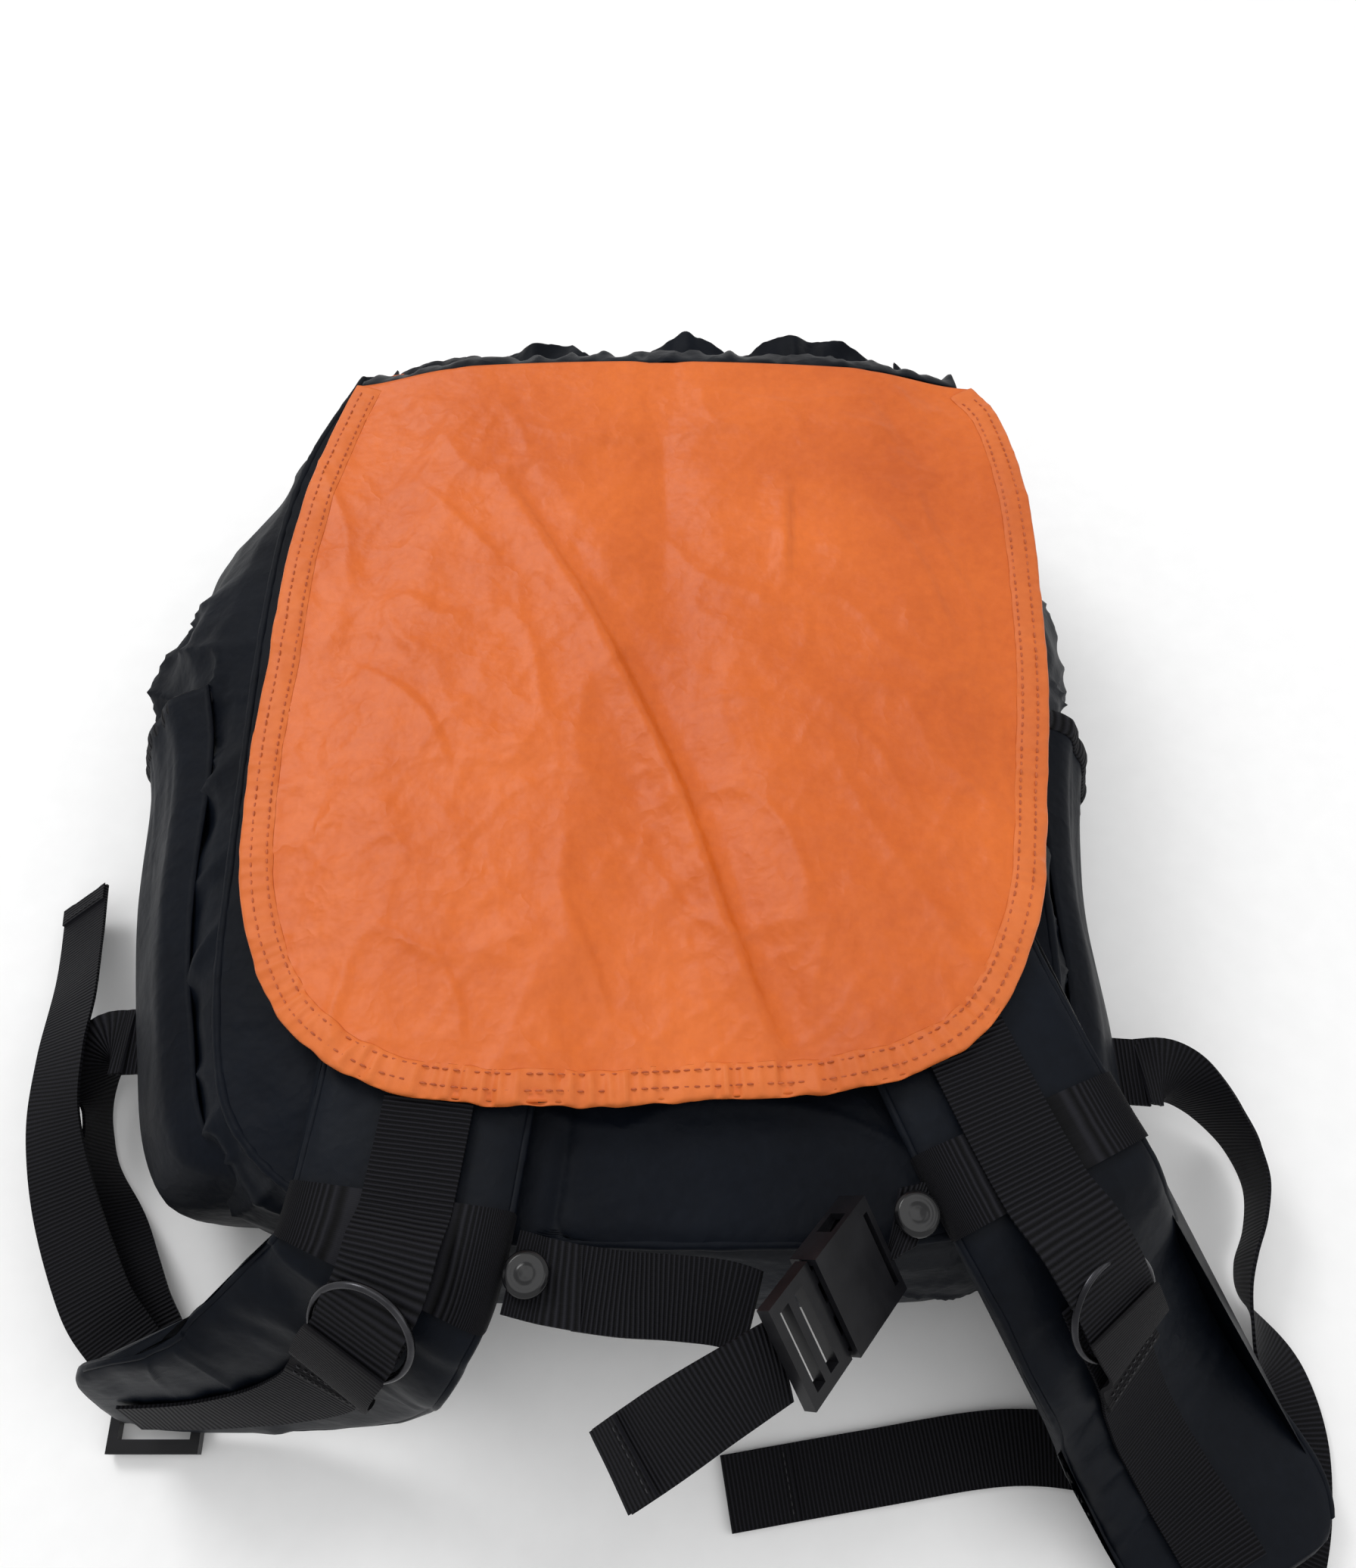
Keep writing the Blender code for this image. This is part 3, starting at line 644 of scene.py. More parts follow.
@dataclass(frozen=True)
class WovenCloth:
    """Plain woven cloth with a fine thread and soft crumpling."""

    name: str
    low: tuple[float, float, float]
    high: tuple[float, float, float]
    roughness: float
    thread: float = 0.00042
    sheen: float = 0.06
    crumple: float = 0.0006
    specular: float = 0.5

    def build(self) -> bpy.types.Material:
        """Make the material."""
        n = Nodes(self.name)
        coords = n.add("ShaderNodeTexCoord").outputs["Object"]
        axes = n.add("ShaderNodeSeparateXYZ")
        n.link(coords, axes.inputs[0])
        wave = 2 * math.pi / self.thread
        warp = n.maths("SINE", n.maths("MULTIPLY", axes.outputs[0], wave))
        weft = n.maths("SINE", n.maths("MULTIPLY", axes.outputs[1], wave))
        weave = n.maths("MULTIPLY", warp, weft)
        cloudy = n.noise(coords, 14.0, 3.0)
        fine = n.noise(coords, 260.0, 4.0, 0.6)
        blend = n.maths("ADD", n.maths("MULTIPLY", cloudy, 0.7), n.maths("MULTIPLY", fine, 0.3))
        n.link(n.ramp(blend, self.low, self.high, 0.3, 0.7), n.shader.inputs["Base Color"])
        ridge = n.maths("ABSOLUTE", n.maths("SUBTRACT", n.noise(coords, 26.0, 4.0, 0.55), 0.5))
        rumple = n.maths("SUBTRACT", n.maths("MULTIPLY", n.noise(coords, 42.0, 5.0, 0.62), 0.35),
                         n.maths("MULTIPLY", ridge, 2.2))
        soft = n.bump(rumple, self.crumple, 0.8)
        grain = n.bump(n.maths("ADD", n.maths("MULTIPLY", weave, 0.5), fine), 0.00005, 0.5,
                       soft)
        n.link(grain.outputs[0], n.shader.inputs["Normal"])
        rough = n.maths("ADD", n.maths("MULTIPLY", n.noise(coords, 90.0, 3.0), 0.12),
                        self.roughness - 0.06)
        n.link(rough, n.shader.inputs["Roughness"])
        n.shader.inputs["Sheen Weight"].default_value = self.sheen
        n.shader.inputs["Sheen Roughness"].default_value = 0.4
        n.shader.inputs["Specular IOR Level"].default_value = self.specular
        return n.material


@dataclass(frozen=True)
class RibbedWebbing:
    """Webbing with ribs across its width, laid out by its own length, with painted shade in the rib
    valleys and painted light on the rib crests.
    """

    name: str
    # low is the painted shade colour of the rib valleys, high the painted light colour of the rib
    # crests
    low: tuple[float, float, float] = (0.0008, 0.0008, 0.0012)
    high: tuple[float, float, float] = (0.0125, 0.0125, 0.0160)
    rib: float = 0.00148
    depth: float = 0.0005

    def build(self) -> bpy.types.Material:
        """Make the material."""
        n = Nodes(self.name)
        coords = n.add("ShaderNodeUVMap", uv_map="Weave").outputs[0]
        axes = n.add("ShaderNodeSeparateXYZ")
        n.link(coords, axes.inputs[0])
        drift = n.maths("MULTIPLY", n.noise(coords, 60.0, 2.0), 0.0006)
        along = n.maths("ADD", axes.outputs[0], drift)
        ribs = n.maths("SINE", n.maths("MULTIPLY", along, 2 * math.pi / self.rib))
        height = n.maths("MULTIPLY", n.maths("ADD", ribs, 1.0), 0.5)
        threads = n.maths("SINE", n.maths("MULTIPLY", axes.outputs[1], 2 * math.pi / 0.0006))
        fuzz = n.noise(coords, 900.0, 3.0, 0.7)
        # Colour: painted shade in the rib valleys and painted light on the crests, taken from the
        # rib height, plus random fuzz tone
        rib_shade_and_fuzz = n.maths("ADD", n.maths("MULTIPLY", height, 0.75),
                        n.maths("MULTIPLY", fuzz, 0.3))
        n.link(n.ramp(rib_shade_and_fuzz, self.low, self.high, 0.15, 0.95), n.shader.inputs["Base Color"])
        ribbed = n.bump(height, self.depth, 0.9)
        woven = n.bump(n.maths("ADD", n.maths("MULTIPLY", threads, 0.3), fuzz), 0.00006, 0.6,
                       ribbed)
        n.link(woven.outputs[0], n.shader.inputs["Normal"])
        n.shader.inputs["Roughness"].default_value = 0.62
        n.shader.inputs["Sheen Weight"].default_value = 0.0
        n.shader.inputs["Specular IOR Level"].default_value = 0.1
        n.shader.inputs["Sheen Roughness"].default_value = 0.5
        return n.material


@dataclass(frozen=True)
class Moulded:
    """Moulded or plated surface with fine grain and slight wear."""

    name: str
    low: tuple[float, float, float]
    high: tuple[float, float, float]
    roughness: float
    metallic: float = 0.0
    grain: float = 0.00003
    specular: float = 0.5

    def build(self) -> bpy.types.Material:
        """Make the material."""
        n = Nodes(self.name)
        coords = n.add("ShaderNodeTexCoord").outputs["Object"]
        n.link(n.ramp(n.noise(coords, 80.0, 4.0), self.low, self.high, 0.35, 0.7),
               n.shader.inputs["Base Color"])
        rough = n.maths("ADD", n.maths("MULTIPLY", n.noise(coords, 300.0, 3.0), 0.18),
                        self.roughness - 0.09)
        n.link(rough, n.shader.inputs["Roughness"])
        n.link(n.bump(n.noise(coords, 1800.0, 3.0), self.grain, 0.6).outputs[0],
               n.shader.inputs["Normal"])
        n.shader.inputs["Metallic"].default_value = self.metallic
        n.shader.inputs["Specular IOR Level"].default_value = self.specular
        return n.material


@dataclass
class Palette:
    """Every finish on the pack."""

    nylon: bpy.types.Material
    pad: bpy.types.Material
    lining: bpy.types.Material
    hem: bpy.types.Material
    webbing: bpy.types.Material
    tab: bpy.types.Material
    thread: bpy.types.Material
    pale_thread: bpy.types.Material
    plastic: bpy.types.Material
    cap: bpy.types.Material
    metal: bpy.types.Material
    foam: bpy.types.Material


def mix_palette() -> Palette:
    """Make the finishes."""
    return Palette(
        nylon=WovenCloth("NylonTwill", (0.0016, 0.0022, 0.0040), (0.0042, 0.0060, 0.0104), 0.48,
                         crumple=0.0015, sheen=0.0, specular=0.07).build(),
        pad=WovenCloth("PadNylon", (0.0017, 0.0024, 0.0043), (0.0046, 0.0066, 0.0112), 0.44,
                       crumple=0.0010, sheen=0.0, specular=0.09).build(),
        lining=WovenCloth("OrangeLining", (0.52, 0.092, 0.010), (0.70, 0.150, 0.019), 0.38,
                          crumple=0.0019, sheen=0.0, specular=0.32).build(),
        hem=WovenCloth("OrangeHem", (0.54, 0.112, 0.020), (0.70, 0.172, 0.036), 0.50,
                       crumple=0.0012, sheen=0.0, specular=0.28).build(),
        webbing=RibbedWebbing("RibbedWebbing").build(),
        tab=RibbedWebbing("FineTabWebbing", (0.004, 0.004, 0.0050), (0.0160, 0.0155, 0.0170),
                          0.00075, 0.00018).build(),
        thread=Moulded("DarkThread", (0.008, 0.008, 0.010), (0.018, 0.018, 0.022), 0.6).build(),
        pale_thread=Moulded("OrangeThread", (0.40, 0.075, 0.018), (0.52, 0.115, 0.030),
                            0.6).build(),
        plastic=Moulded("MouldedAcetal", (0.0040, 0.0040, 0.0052), (0.0090, 0.0090, 0.0108),
                        0.34, specular=0.22).build(),
        cap=Moulded("GlossyCap", (0.0030, 0.0030, 0.0036), (0.0060, 0.0060, 0.0070), 0.20,
                    grain=0.00001, specular=0.40).build(),
        metal=Moulded("BlackNickel", (0.022, 0.022, 0.025), (0.055, 0.055, 0.060), 0.26, 0.95,
                      0.00001).build(),
        foam=Moulded("FoamSheet", (0.26, 0.27, 0.29), (0.34, 0.35, 0.37), 0.9, 0.0,
                     0.0002).build())


# ------------------------------------------------------------------ body

def mouth_outline(v: np.ndarray) -> tuple[np.ndarray, np.ndarray]:
    """X and Z, each from -1 to 1, on the mouth's rounded oblong, evenly paced.

    Args:
        v: Share of the way round.

    Returns:
        The two coordinates.
    """
    angle = np.linspace(0, 2 * np.pi, 4001)
    c, s = np.cos(angle), np.sin(angle)
    line = np.stack((2.6 * np.sign(c) * np.abs(c) ** 0.24, np.sign(s) * np.abs(s) ** 0.24), axis=1)
    along = travelled(line)
    return (np.interp(v * along[-1], along, line[:, 0]) / 2.6,
            np.interp(v * along[-1], along, line[:, 1]))


def corner_droop(x: np.ndarray) -> np.ndarray:
    """How far the flap's seam sags towards its two ends."""
    return 6.0 * smoothstep((np.abs(x - 4) - 86) / 42)


@dataclass
class BodyShell:
    """The sagging cloth body: back, sides, front, collar, pockets and their seams."""

    palette: Palette
    seam_steps: int = 24
    wall: float = 1.0
    seam_height: float = 98.6
    skin_drop: float = 98.0
    mouth_root: float = 184.5
    mouth_reach: tuple[float, float] = (125.5, 119.0)
    mouth_rise: tuple[float, float] = (49.5, 47.5)
    mouth_floor: float = 1.2
    lining_mouth: float = 196.0
    lining_deep: float = 352.0
    pocket_puff: float = 11.6
    pocket_heights: tuple[float, float] = (12.0, 88.0)
    gather_pitch: float = 4.6
    line: np.ndarray = field(init=False)
    normal: np.ndarray = field(init=False)

    def __post_init__(self) -> None:
        """Sample the seam line."""
        self.line = through(SEAM, self.seam_steps)
        run = np.gradient(self.line[:, :2], axis=0)
        run /= np.linalg.norm(run, axis=1)[:, None]
        self.normal = np.stack((run[:, 1], -run[:, 0]), axis=1)

    def seam(self, station: np.ndarray) -> tuple[np.ndarray, np.ndarray, np.ndarray]:
        """Place, outward direction and bulge at a seam station.

        Args:
            station: Stations, counted in points of the seam line.

        Returns:
            Places, outward directions and bulges.
        """
        at = np.arange(len(self.line)) / self.seam_steps
        place = np.stack([np.interp(station, at, self.line[:, k]) for k in range(2)], axis=-1)
        out = np.stack([np.interp(station, at, self.normal[:, k]) for k in range(2)], axis=-1)
        return place, out, np.interp(station, at, self.line[:, 2])

    def skin(self, station: np.ndarray, height: np.ndarray, proud: np.ndarray) -> np.ndarray:
        """Points of the side skin, standing proud of its plain bulge.

        Args:
            station: Stations along the seam.
            height: Heights off the floor.
            proud: How far the point stands out of the plain bulge.

        Returns:
            The points.
        """
        place, out, bulge = self.seam(station)
        share = np.interp(height, LEVEL_HEIGHTS, LEVEL_SHARES)
        push = bulge * share + proud
        return np.stack((place[:, 0] + out[:, 0] * push, place[:, 1] + out[:, 1] * push,
                         height), axis=1)

    def side_place(self, u: np.ndarray, v: np.ndarray) -> np.ndarray:
        """The side and bottom cloth, with its crumpled folds.

        Args:
            u: Share of the way along the surface's first direction, 0 to 1.
            v: Share of the way along its second direction, 0 to 1.

        Returns:
            The points.
        """
        station = u * (len(SEAM) - 1)
        height = self.seam_height - self.skin_drop * (0.5 - 0.5 * np.cos(np.pi * v)) ** 0.9
        left = smoothstep((8.5 - station) / 2.5)
        right = smoothstep((station - 12.0) / 2.0)
        rough = 0.9 + 3.1 * left + 1.6 * right
        free = np.sin(np.pi * np.clip(v, 0, 1)) ** 0.6
        lumps = noise(station * 1.6, height / 34, 3, 2)
        folds = creases(station * 1.3 + height / 60, height / 40 + station * 0.4, 8)
        long_folds = creases(station * 2.4 - height / 45, height / 90, 15)
        proud = free * rough * (1.1 * lumps + 1.5 * folds + 0.9 * long_folds - 0.9)
        return self.skin(station, height, proud)

    def inside(self, y: np.ndarray) -> tuple[np.ndarray, np.ndarray]:
        """The seam's left and right X at each Y.

        Args:
            y: Distances from the origin to the mouth.

        Returns:
            Left X and right X.
        """
        low = int(np.argmin(self.line[:, 1]))
        left, right = self.line[:low + 1][::-1], self.line[low:]
        return (np.interp(y, left[:, 1], left[:, 0]), np.interp(y, right[:, 1], right[:, 0]))

    def back_place(self, u: np.ndarray, v: np.ndarray) -> np.ndarray:
        """The back panel, softly puffed, with a sewn seam beside the left pad.

        Args:
            u: Share of the way along the surface's first direction, 0 to 1.
            v: Share of the way along its second direction, 0 to 1.

        Returns:
            The points.
        """
        low = float(self.line[:, 1].min())
        y = low + (190.0 - low) * v ** 1.5
        left, right = self.inside(y)
        x = left + (right - left) * u
        edge = np.minimum(np.minimum(u, 1 - u) * 8, np.minimum(v * 14, 1.0))
        edge = smoothstep(edge)
        groove = np.exp(-((x + 26 - (y + 160) * 0.12) / 2.2) ** 2)
        z = 99.0 + edge * (1.1 + 0.9 * noise(x / 46, y / 30, 21, 2)
                           + 1.1 * creases(x / 60 + y / 50, y / 38, 23) - 1.6 * groove)
        return np.stack((x, y, z), axis=1)

    def front_place(self, u: np.ndarray, v: np.ndarray) -> np.ndarray:
        """The front panel that the pack lies on.

        Args:
            u: Share of the way along the surface's first direction, 0 to 1.
            v: Share of the way along its second direction, 0 to 1.

        Returns:
            The points.
        """
        low = float(self.line[:, 1].min()) - 5.0
        y = low + (190.0 - low) * v
        left, right = self.inside(np.clip(y, low + 5.2, 190))
        bulge = np.interp(y, (-182, -170, -60, 60, 110, 190), (6, 8, 18, 33, 30, 4))
        x = (left - bulge) + (right - left + 2 * bulge - 8) * u
        z = 0.7 + 0.35 * (noise(x / 40, y / 40, 31, 2) + 1.0)
        return np.stack((x, y, z), axis=1)

    def collar_place(self, u: np.ndarray, v: np.ndarray) -> np.ndarray:
        """The gathered collar at the mouth: V runs round it and U out to its free edge.

        Args:
            u: Share of the way along the surface's first direction, 0 to 1.
            v: Share of the way along its second direction, 0 to 1.

        Returns:
            The points.
        """
        ring_x, ring_z = mouth_outline(v)
        reach_x = np.interp(u, (0, 1), self.mouth_reach)
        reach_z = np.interp(u, (0, 1), self.mouth_rise)
        x = -2 + reach_x * ring_x
        z = 50 + reach_z * ring_z
        end = np.interp(x, (-128, -112, -80, -46, -36, -31, -10, 4, 14, 24, 38, 44, 50, 62, 90,
                            106, 124),
                        (188, 197, 207, 212, 213, 204, 204, 212, 218, 215, 205, 205, 214, 214,
                         208, 199, 191))
        end = np.where(ring_z > 0.9, end + 1.2 * noise(x / 5.0, z * 0, 42, 2),
                       205 + 6 * noise(x / 18, z * 0, 41, 2))
        around = x / 14.0 + z / 17.0
        gather = noise(around, u * 0.8, 43, 2) * 4.4 + noise(around * 2.3, u, 47) * 1.5 + 1.5
        fold = gather * u ** 0.8
        out_x, out_z = np.sign(ring_x) * ring_x ** 8, np.sign(ring_z) * ring_z ** 2
        y = self.mouth_root + (end - self.mouth_root) * u
        return np.stack((x + out_x * fold * 0.5, y,
                         np.maximum(z + out_z * fold, self.mouth_floor)), axis=1)

    def lining_place(self, u: np.ndarray, v: np.ndarray) -> np.ndarray:
        """The lining: V round the mouth and U down to its closed end.

        Args:
            u: Share of the way along the surface's first direction, 0 to 1.
            v: Share of the way along its second direction, 0 to 1.

        Returns:
            The points.
        """
        ring_x, ring_z = mouth_outline(v)
        shut = np.sqrt(1.0005 - np.clip((u - 0.9) / 0.1, 0, 1) ** 2)
        y = self.lining_mouth - self.lining_deep * np.clip(u / 0.9, 0, 1) - 8 * (1 - shut)
        wide = np.interp(y, (-164, -120, 0, 60, 190.5, 196), (92, 116, 136, 138, 121, 125))
        tall = np.interp(y, (-164, -140, 190.5, 196), (40, 44, 44.4, 48.6))
        around = v * 46
        slack = smoothstep((188 - y) / 20) * shut
        sag = slack * (1.3 * creases(around / 2.2, y / 46, 111)
                       + 1.1 * noise(around / 3, y / 34, 113, 2))
        x = -3 + ring_x * (wide - sag) * shut
        z = 49 + ring_z * (tall - sag) * shut
        return np.stack((x, y, z), axis=1)

    def pocket(self, name: str, first: float, last: float, direction: int) -> None:
        """A pouch on a side with a gathered, bound edge.

        Args:
            name: Which side.
            first: Seam station of the open edge.
            last: Seam station where the pouch runs out.
            direction: 1 where stations rise away from the open edge, or -1.
        """
        def place(u: np.ndarray, v: np.ndarray) -> np.ndarray:
            """The pouch's cloth.

            Args:
                u: Share of the way along the surface's first direction, 0 to 1.
                v: Share of the way along its second direction, 0 to 1.

            Returns:
                The points.
            """
            height = 88 - 76 * v
            slant = np.interp(height, self.pocket_heights, (0.25, -0.55)) * direction
            station = first + slant * (1 - u) + (last - first) * u
            gather = 1.2 * noise(height / 5.0, u * 3, 61, 2) * (1 - u) ** 2
            full = smoothstep((1 - u) / 0.14)
            tuck = np.exp(-(v / 0.05) ** 2) + np.exp(-((1 - v) / 0.05) ** 2) + 1 - full
            belly = full * np.sin(np.pi * (0.01 + 0.98 * v)) ** 0.4
            puff = self.pocket_puff * belly + 1.3 - 4.5 * tuck
            lumps = 2.2 * noise(u * 3 + height / 50, height / 24, 63, 2) * np.sin(np.pi * u)
            return self.skin(station, height, puff + gather + lumps)

        def binding(u: np.ndarray, v: np.ndarray) -> np.ndarray:
            """The elastic binding over the open edge: U down it, V round its section.

            Args:
                u: Share of the way along the surface's first direction, 0 to 1.
                v: Share of the way along its second direction, 0 to 1.

            Returns:
                The points.
            """
            edge = place(np.zeros_like(u), u)
            near = place(np.full_like(u, 0.04), u)
            run = near - edge
            run /= np.linalg.norm(run, axis=1)[:, None]
            _, out, _ = self.seam(np.full_like(u, first))
            up = np.concatenate((out, np.zeros((len(u), 1))), axis=1)
            beads = 1 + 0.22 * np.sin(u * 76 * 2 * np.pi / self.gather_pitch)
            angle = 2 * np.pi * v
            return (edge + run * (3.6 + 4.6 * np.cos(angle))[:, None]
                    + up * (0.2 + 1.5 * beads * np.sin(angle))[:, None])

        dressed(cloth(f"{name}_pocket_cloth", 70, 70, place, (150, 80), 1.0, -1.0),
                self.palette.nylon, ROOT, (f"{name}_side_pocket",))
        dressed(cloth(f"{name}_pocket_binding", 110, 12, binding, (80, 12), closed=True),
                self.palette.webbing, ROOT, (f"{name}_pocket_elastic",))

    def piping(self) -> None:
        """The bound seam round the back panel's edge."""
        count = len(self.line) - 1

        def place(u: np.ndarray, v: np.ndarray) -> np.ndarray:
            """U along the seam and V round the binding.

            Args:
                u: Share of the way along the surface's first direction, 0 to 1.
                v: Share of the way along its second direction, 0 to 1.

            Returns:
                The points.
            """
            spot, out, _ = self.seam(u * count / self.seam_steps)
            angle = 2 * np.pi * v
            swell = 1 + 0.12 * noise(u * 260, u * 0, 71)
            radial, rise = 1.9 * np.cos(angle) * swell, 1.5 * np.sin(angle) * swell
            return np.stack((spot[:, 0] + out[:, 0] * radial, spot[:, 1] + out[:, 1] * radial,
                             98.9 + rise), axis=1)

        dressed(cloth("back_seam_binding", 420, 10, place, (900, 10), closed=True),
                self.palette.nylon)

    def seam_band_place(self, u: np.ndarray, v: np.ndarray) -> np.ndarray:
        """The gathered band that the flap is sewn to: U across the pack, V down and out.

        Args:
            u: Share of the way along the surface's first direction, 0 to 1.
            v: Share of the way along its second direction, 0 to 1.

        Returns:
            The points.
        """
        x = -124 + 256 * u
        root = 173.5 + 8.5 * (1 - (2 * u - 1) ** 2)
        gather = noise(x / 7.0, v * 1.2, 51, 2)
        y = root + 1.5 + 17.0 * v + 1.2 * gather * v
        z = 115.2 - 13.0 * v ** 1.6 + 1.5 * gather * (0.35 + v) - corner_droop(x)
        return np.stack((x, y, z), axis=1)

    def build(self) -> None:
        """Make every cloth of the body."""
        nylon = self.palette.nylon
        dressed(cloth("side_cloth", 460, 72, self.side_place, (900, 110), self.wall, 1.0),
                nylon, ROOT, ("left_gusset", "bottom_panel", "right_gusset"))
        dressed(cloth("back_cloth", 150, 200, self.back_place, (290, 367), self.wall, 1.0),
                nylon, ROOT, ("back_panel",))
        dressed(cloth("front_cloth", 60, 80, self.front_place, (340, 370), 0.5, 0.0),
                nylon, ROOT, ("front_panel",))
        collar = cloth("mouth_ruffle", 40, 520, self.collar_place, (36, 560), 1.0, -1.0)
        dressed(collar, nylon, ROOT, ("mouth_collar",))
        dressed(cloth("lining_cloth", 150, 240, self.lining_place, (360, 500), 0.6, 0.0),
                self.palette.lining, ROOT, ("lining_sack",))
        dressed(cloth("flap_seam_cloth", 240, 24, self.seam_band_place, (256, 22), 0.8, -1.0),
                nylon, ROOT, ("flap_seam_band",))
        self.piping()
        self.pocket("left", 4.0, 7.5, 1)
        self.pocket("right", 16.0, 12.5, -1)


# ------------------------------------------------------------------ flap

FLAP_CREASES = (
    ((-56, 113), (-19, 46), (11, -21), (29, -76), (44, -118)),
    ((56, 115), (54, 67)), ((62, 54), (61, 36)), ((-96, 120), (-70, 92), (-58, 78)),
    ((-110, 30), (-84, 12), (-70, -14)), ((60, 20), (84, -6), (96, -36)),
    ((86, 110), (104, 84), (118, 40)), ((-30, -60), (-18, -86), (-10, -110)),
    ((66, -70), (58, -96), (56, -116)), ((-60, 150), (-20, 140), (40, 146)),
    ((20, 168), (60, 158), (96, 164)), ((-70, -84), (-60, -104), (-58, -120)))
CREASE_HEIGHTS = (4.4, 2.2, 0.8, 0.8, 0.9, 0.9, 0.8, 0.9, 0.8, 0.7, 0.6, 0.8)


@dataclass
class Flap:
    """The top flap, folded back with its lining up: cloth, gathered hem and stitches."""

    palette: Palette
    base: float = 112.6
    over_pads: float = 4.2
    over_seam: float = 3.2
    pleat_pitch: float = 6.2
    stitch_rows: tuple[float, float] = (3.4, 8.9)
    edge: np.ndarray = field(init=False)
    inward: np.ndarray = field(init=False)
    along: np.ndarray = field(init=False)

    def __post_init__(self) -> None:
        """Sample the flap's edge."""
        self.edge = evenly(through(FLAP_EDGE, 14), 700)
        run = np.gradient(self.edge, axis=0)
        run /= np.linalg.norm(run, axis=1)[:, None]
        self.inward = np.stack((-run[:, 1], run[:, 0]), axis=1)
        self.along = travelled(self.edge)

    def height(self, x: np.ndarray, y: np.ndarray) -> np.ndarray:
        """How high the cloth's middle lies over the straps, with its creases.

        Args:
            x: Places across the pack.
            y: Places along the pack.

        Returns:
            The heights.
        """
        left = np.interp(y, (-140, 0, 172), (-71, -58, -42))
        right = np.interp(y, (-149, -117, -78, 0, 172), (124, 111, 97, 76, 52))
        over = np.maximum(smoothstep((62 - np.abs(x - left)) / 30),
                          smoothstep((62 - np.abs(x - right)) / 30))
        root = smoothstep((y - 120) / 45)
        z = (self.base + np.maximum(self.over_pads * over, self.over_seam * root)
             - corner_droop(x) * root)
        calm = smoothstep((178 - y) / 22)
        z = z + calm * (0.9 * noise(x / 52, y / 60, 81, 2) + 0.35 * noise(x / 15, y / 19, 83, 2))
        z = z + calm * 0.95 * creases(x / 44 + y / 90, y / 70 - x / 120, 85)
        z = z + calm * 0.55 * creases(x / 22 - y / 40, y / 33, 89)
        z = z + calm * 0.55 * facets(x / 16 + y / 70, y / 21 - x / 60, 97)
        for points, tall in zip(FLAP_CREASES, CREASE_HEIGHTS):
            line = evenly(through(points, 8), 180)
            gap = np.hypot(x[:, None] - line[None, :, 0], y[:, None] - line[None, :, 1])
            nearest = gap.argmin(axis=1)
            near = gap[np.arange(len(x)), nearest]
            fade = np.sin(np.pi * np.clip((nearest + 4) / 188, 0, 1)) ** 0.5
            side = (x - line[nearest, 0]) > 0
            width = np.where(side, 1.25, 4.4) * (0.75 + 0.25 * tall)
            z = z + tall * fade * (np.exp(-(near / width) ** 2)
                                   - 0.35 * np.exp(-((near - 9) / 6.0) ** 2) * side)
        return z

    def sides(self) -> tuple[np.ndarray, np.ndarray, np.ndarray, np.ndarray]:
        """Left, free, right and seam borders of the flap as even lines."""
        first = int(np.argmin(np.hypot(self.edge[:, 0] + 116, self.edge[:, 1] + 110.5)))
        last = int(np.argmin(np.hypot(self.edge[:, 0] - 111, self.edge[:, 1] + 113)))
        left = evenly(self.edge[:first + 1], 200)
        free = evenly(self.edge[first:last + 1], 200)
        right = evenly(self.edge[last:][::-1], 200)
        t = np.linspace(0, 1, 200)
        seam = self.edge[0] + (self.edge[-1] - self.edge[0]) * t[:, None]
        seam[:, 1] += 8.5 * (1 - (2 * t - 1) ** 2)
        return left, free, right, seam

    def cloth_place(self, u: np.ndarray, v: np.ndarray) -> np.ndarray:
        """The flap's plan between its four borders, lifted to its height.

        Args:
            u: Share of the way along the surface's first direction, 0 to 1.
            v: Share of the way along its second direction, 0 to 1.

        Returns:
            The points.
        """
        left, free, right, seam = self.sides()
        t = np.linspace(0, 1, 200)

        def on(line: np.ndarray, where: np.ndarray) -> np.ndarray:
            """A point of a border."""
            return np.stack([np.interp(where, t, line[:, k]) for k in range(2)], axis=1)

        u1, v1 = u[:, None], v[:, None]
        plan = ((1 - v1) * on(seam, u) + v1 * on(free, u) + (1 - u1) * on(left, v)
                + u1 * on(right, v) - (1 - u1) * (1 - v1) * left[0] - u1 * (1 - v1) * right[0]
                - (1 - u1) * v1 * left[-1] - u1 * v1 * right[-1])
        x, y = plan[:, 0], plan[:, 1]
        return np.stack((x, y, self.height(x, y)), axis=1)

    def hem_line(self, inset: np.ndarray, where: np.ndarray, lift: np.ndarray) -> np.ndarray:
        """Points at distances along the edge, set in from it and lifted off the cloth.

        Args:
            inset: Distance in from the edge.
            where: Distance along the edge.
            lift: Height over the cloth's middle.

        Returns:
            The points.
        """
        spot = [np.interp(where, self.along, self.edge[:, k]) for k in range(2)]
        inn = [np.interp(where, self.along, self.inward[:, k]) for k in range(2)]
        x, y = spot[0] + inn[0] * inset, spot[1] + inn[1] * inset
        return np.stack((x, y, self.height(x, y) + lift), axis=1)

    def puckers(self, where: np.ndarray) -> np.ndarray:
        """How strongly the hem is gathered: most along the free end.

        Args:
            where: Distance along the edge.

        Returns:
            The strength, 0 to 1.
        """
        end = self.along[-1]
        strong = np.exp(-((where / end - 0.5) / 0.17) ** 2)
        return 0.25 + 0.75 * strong

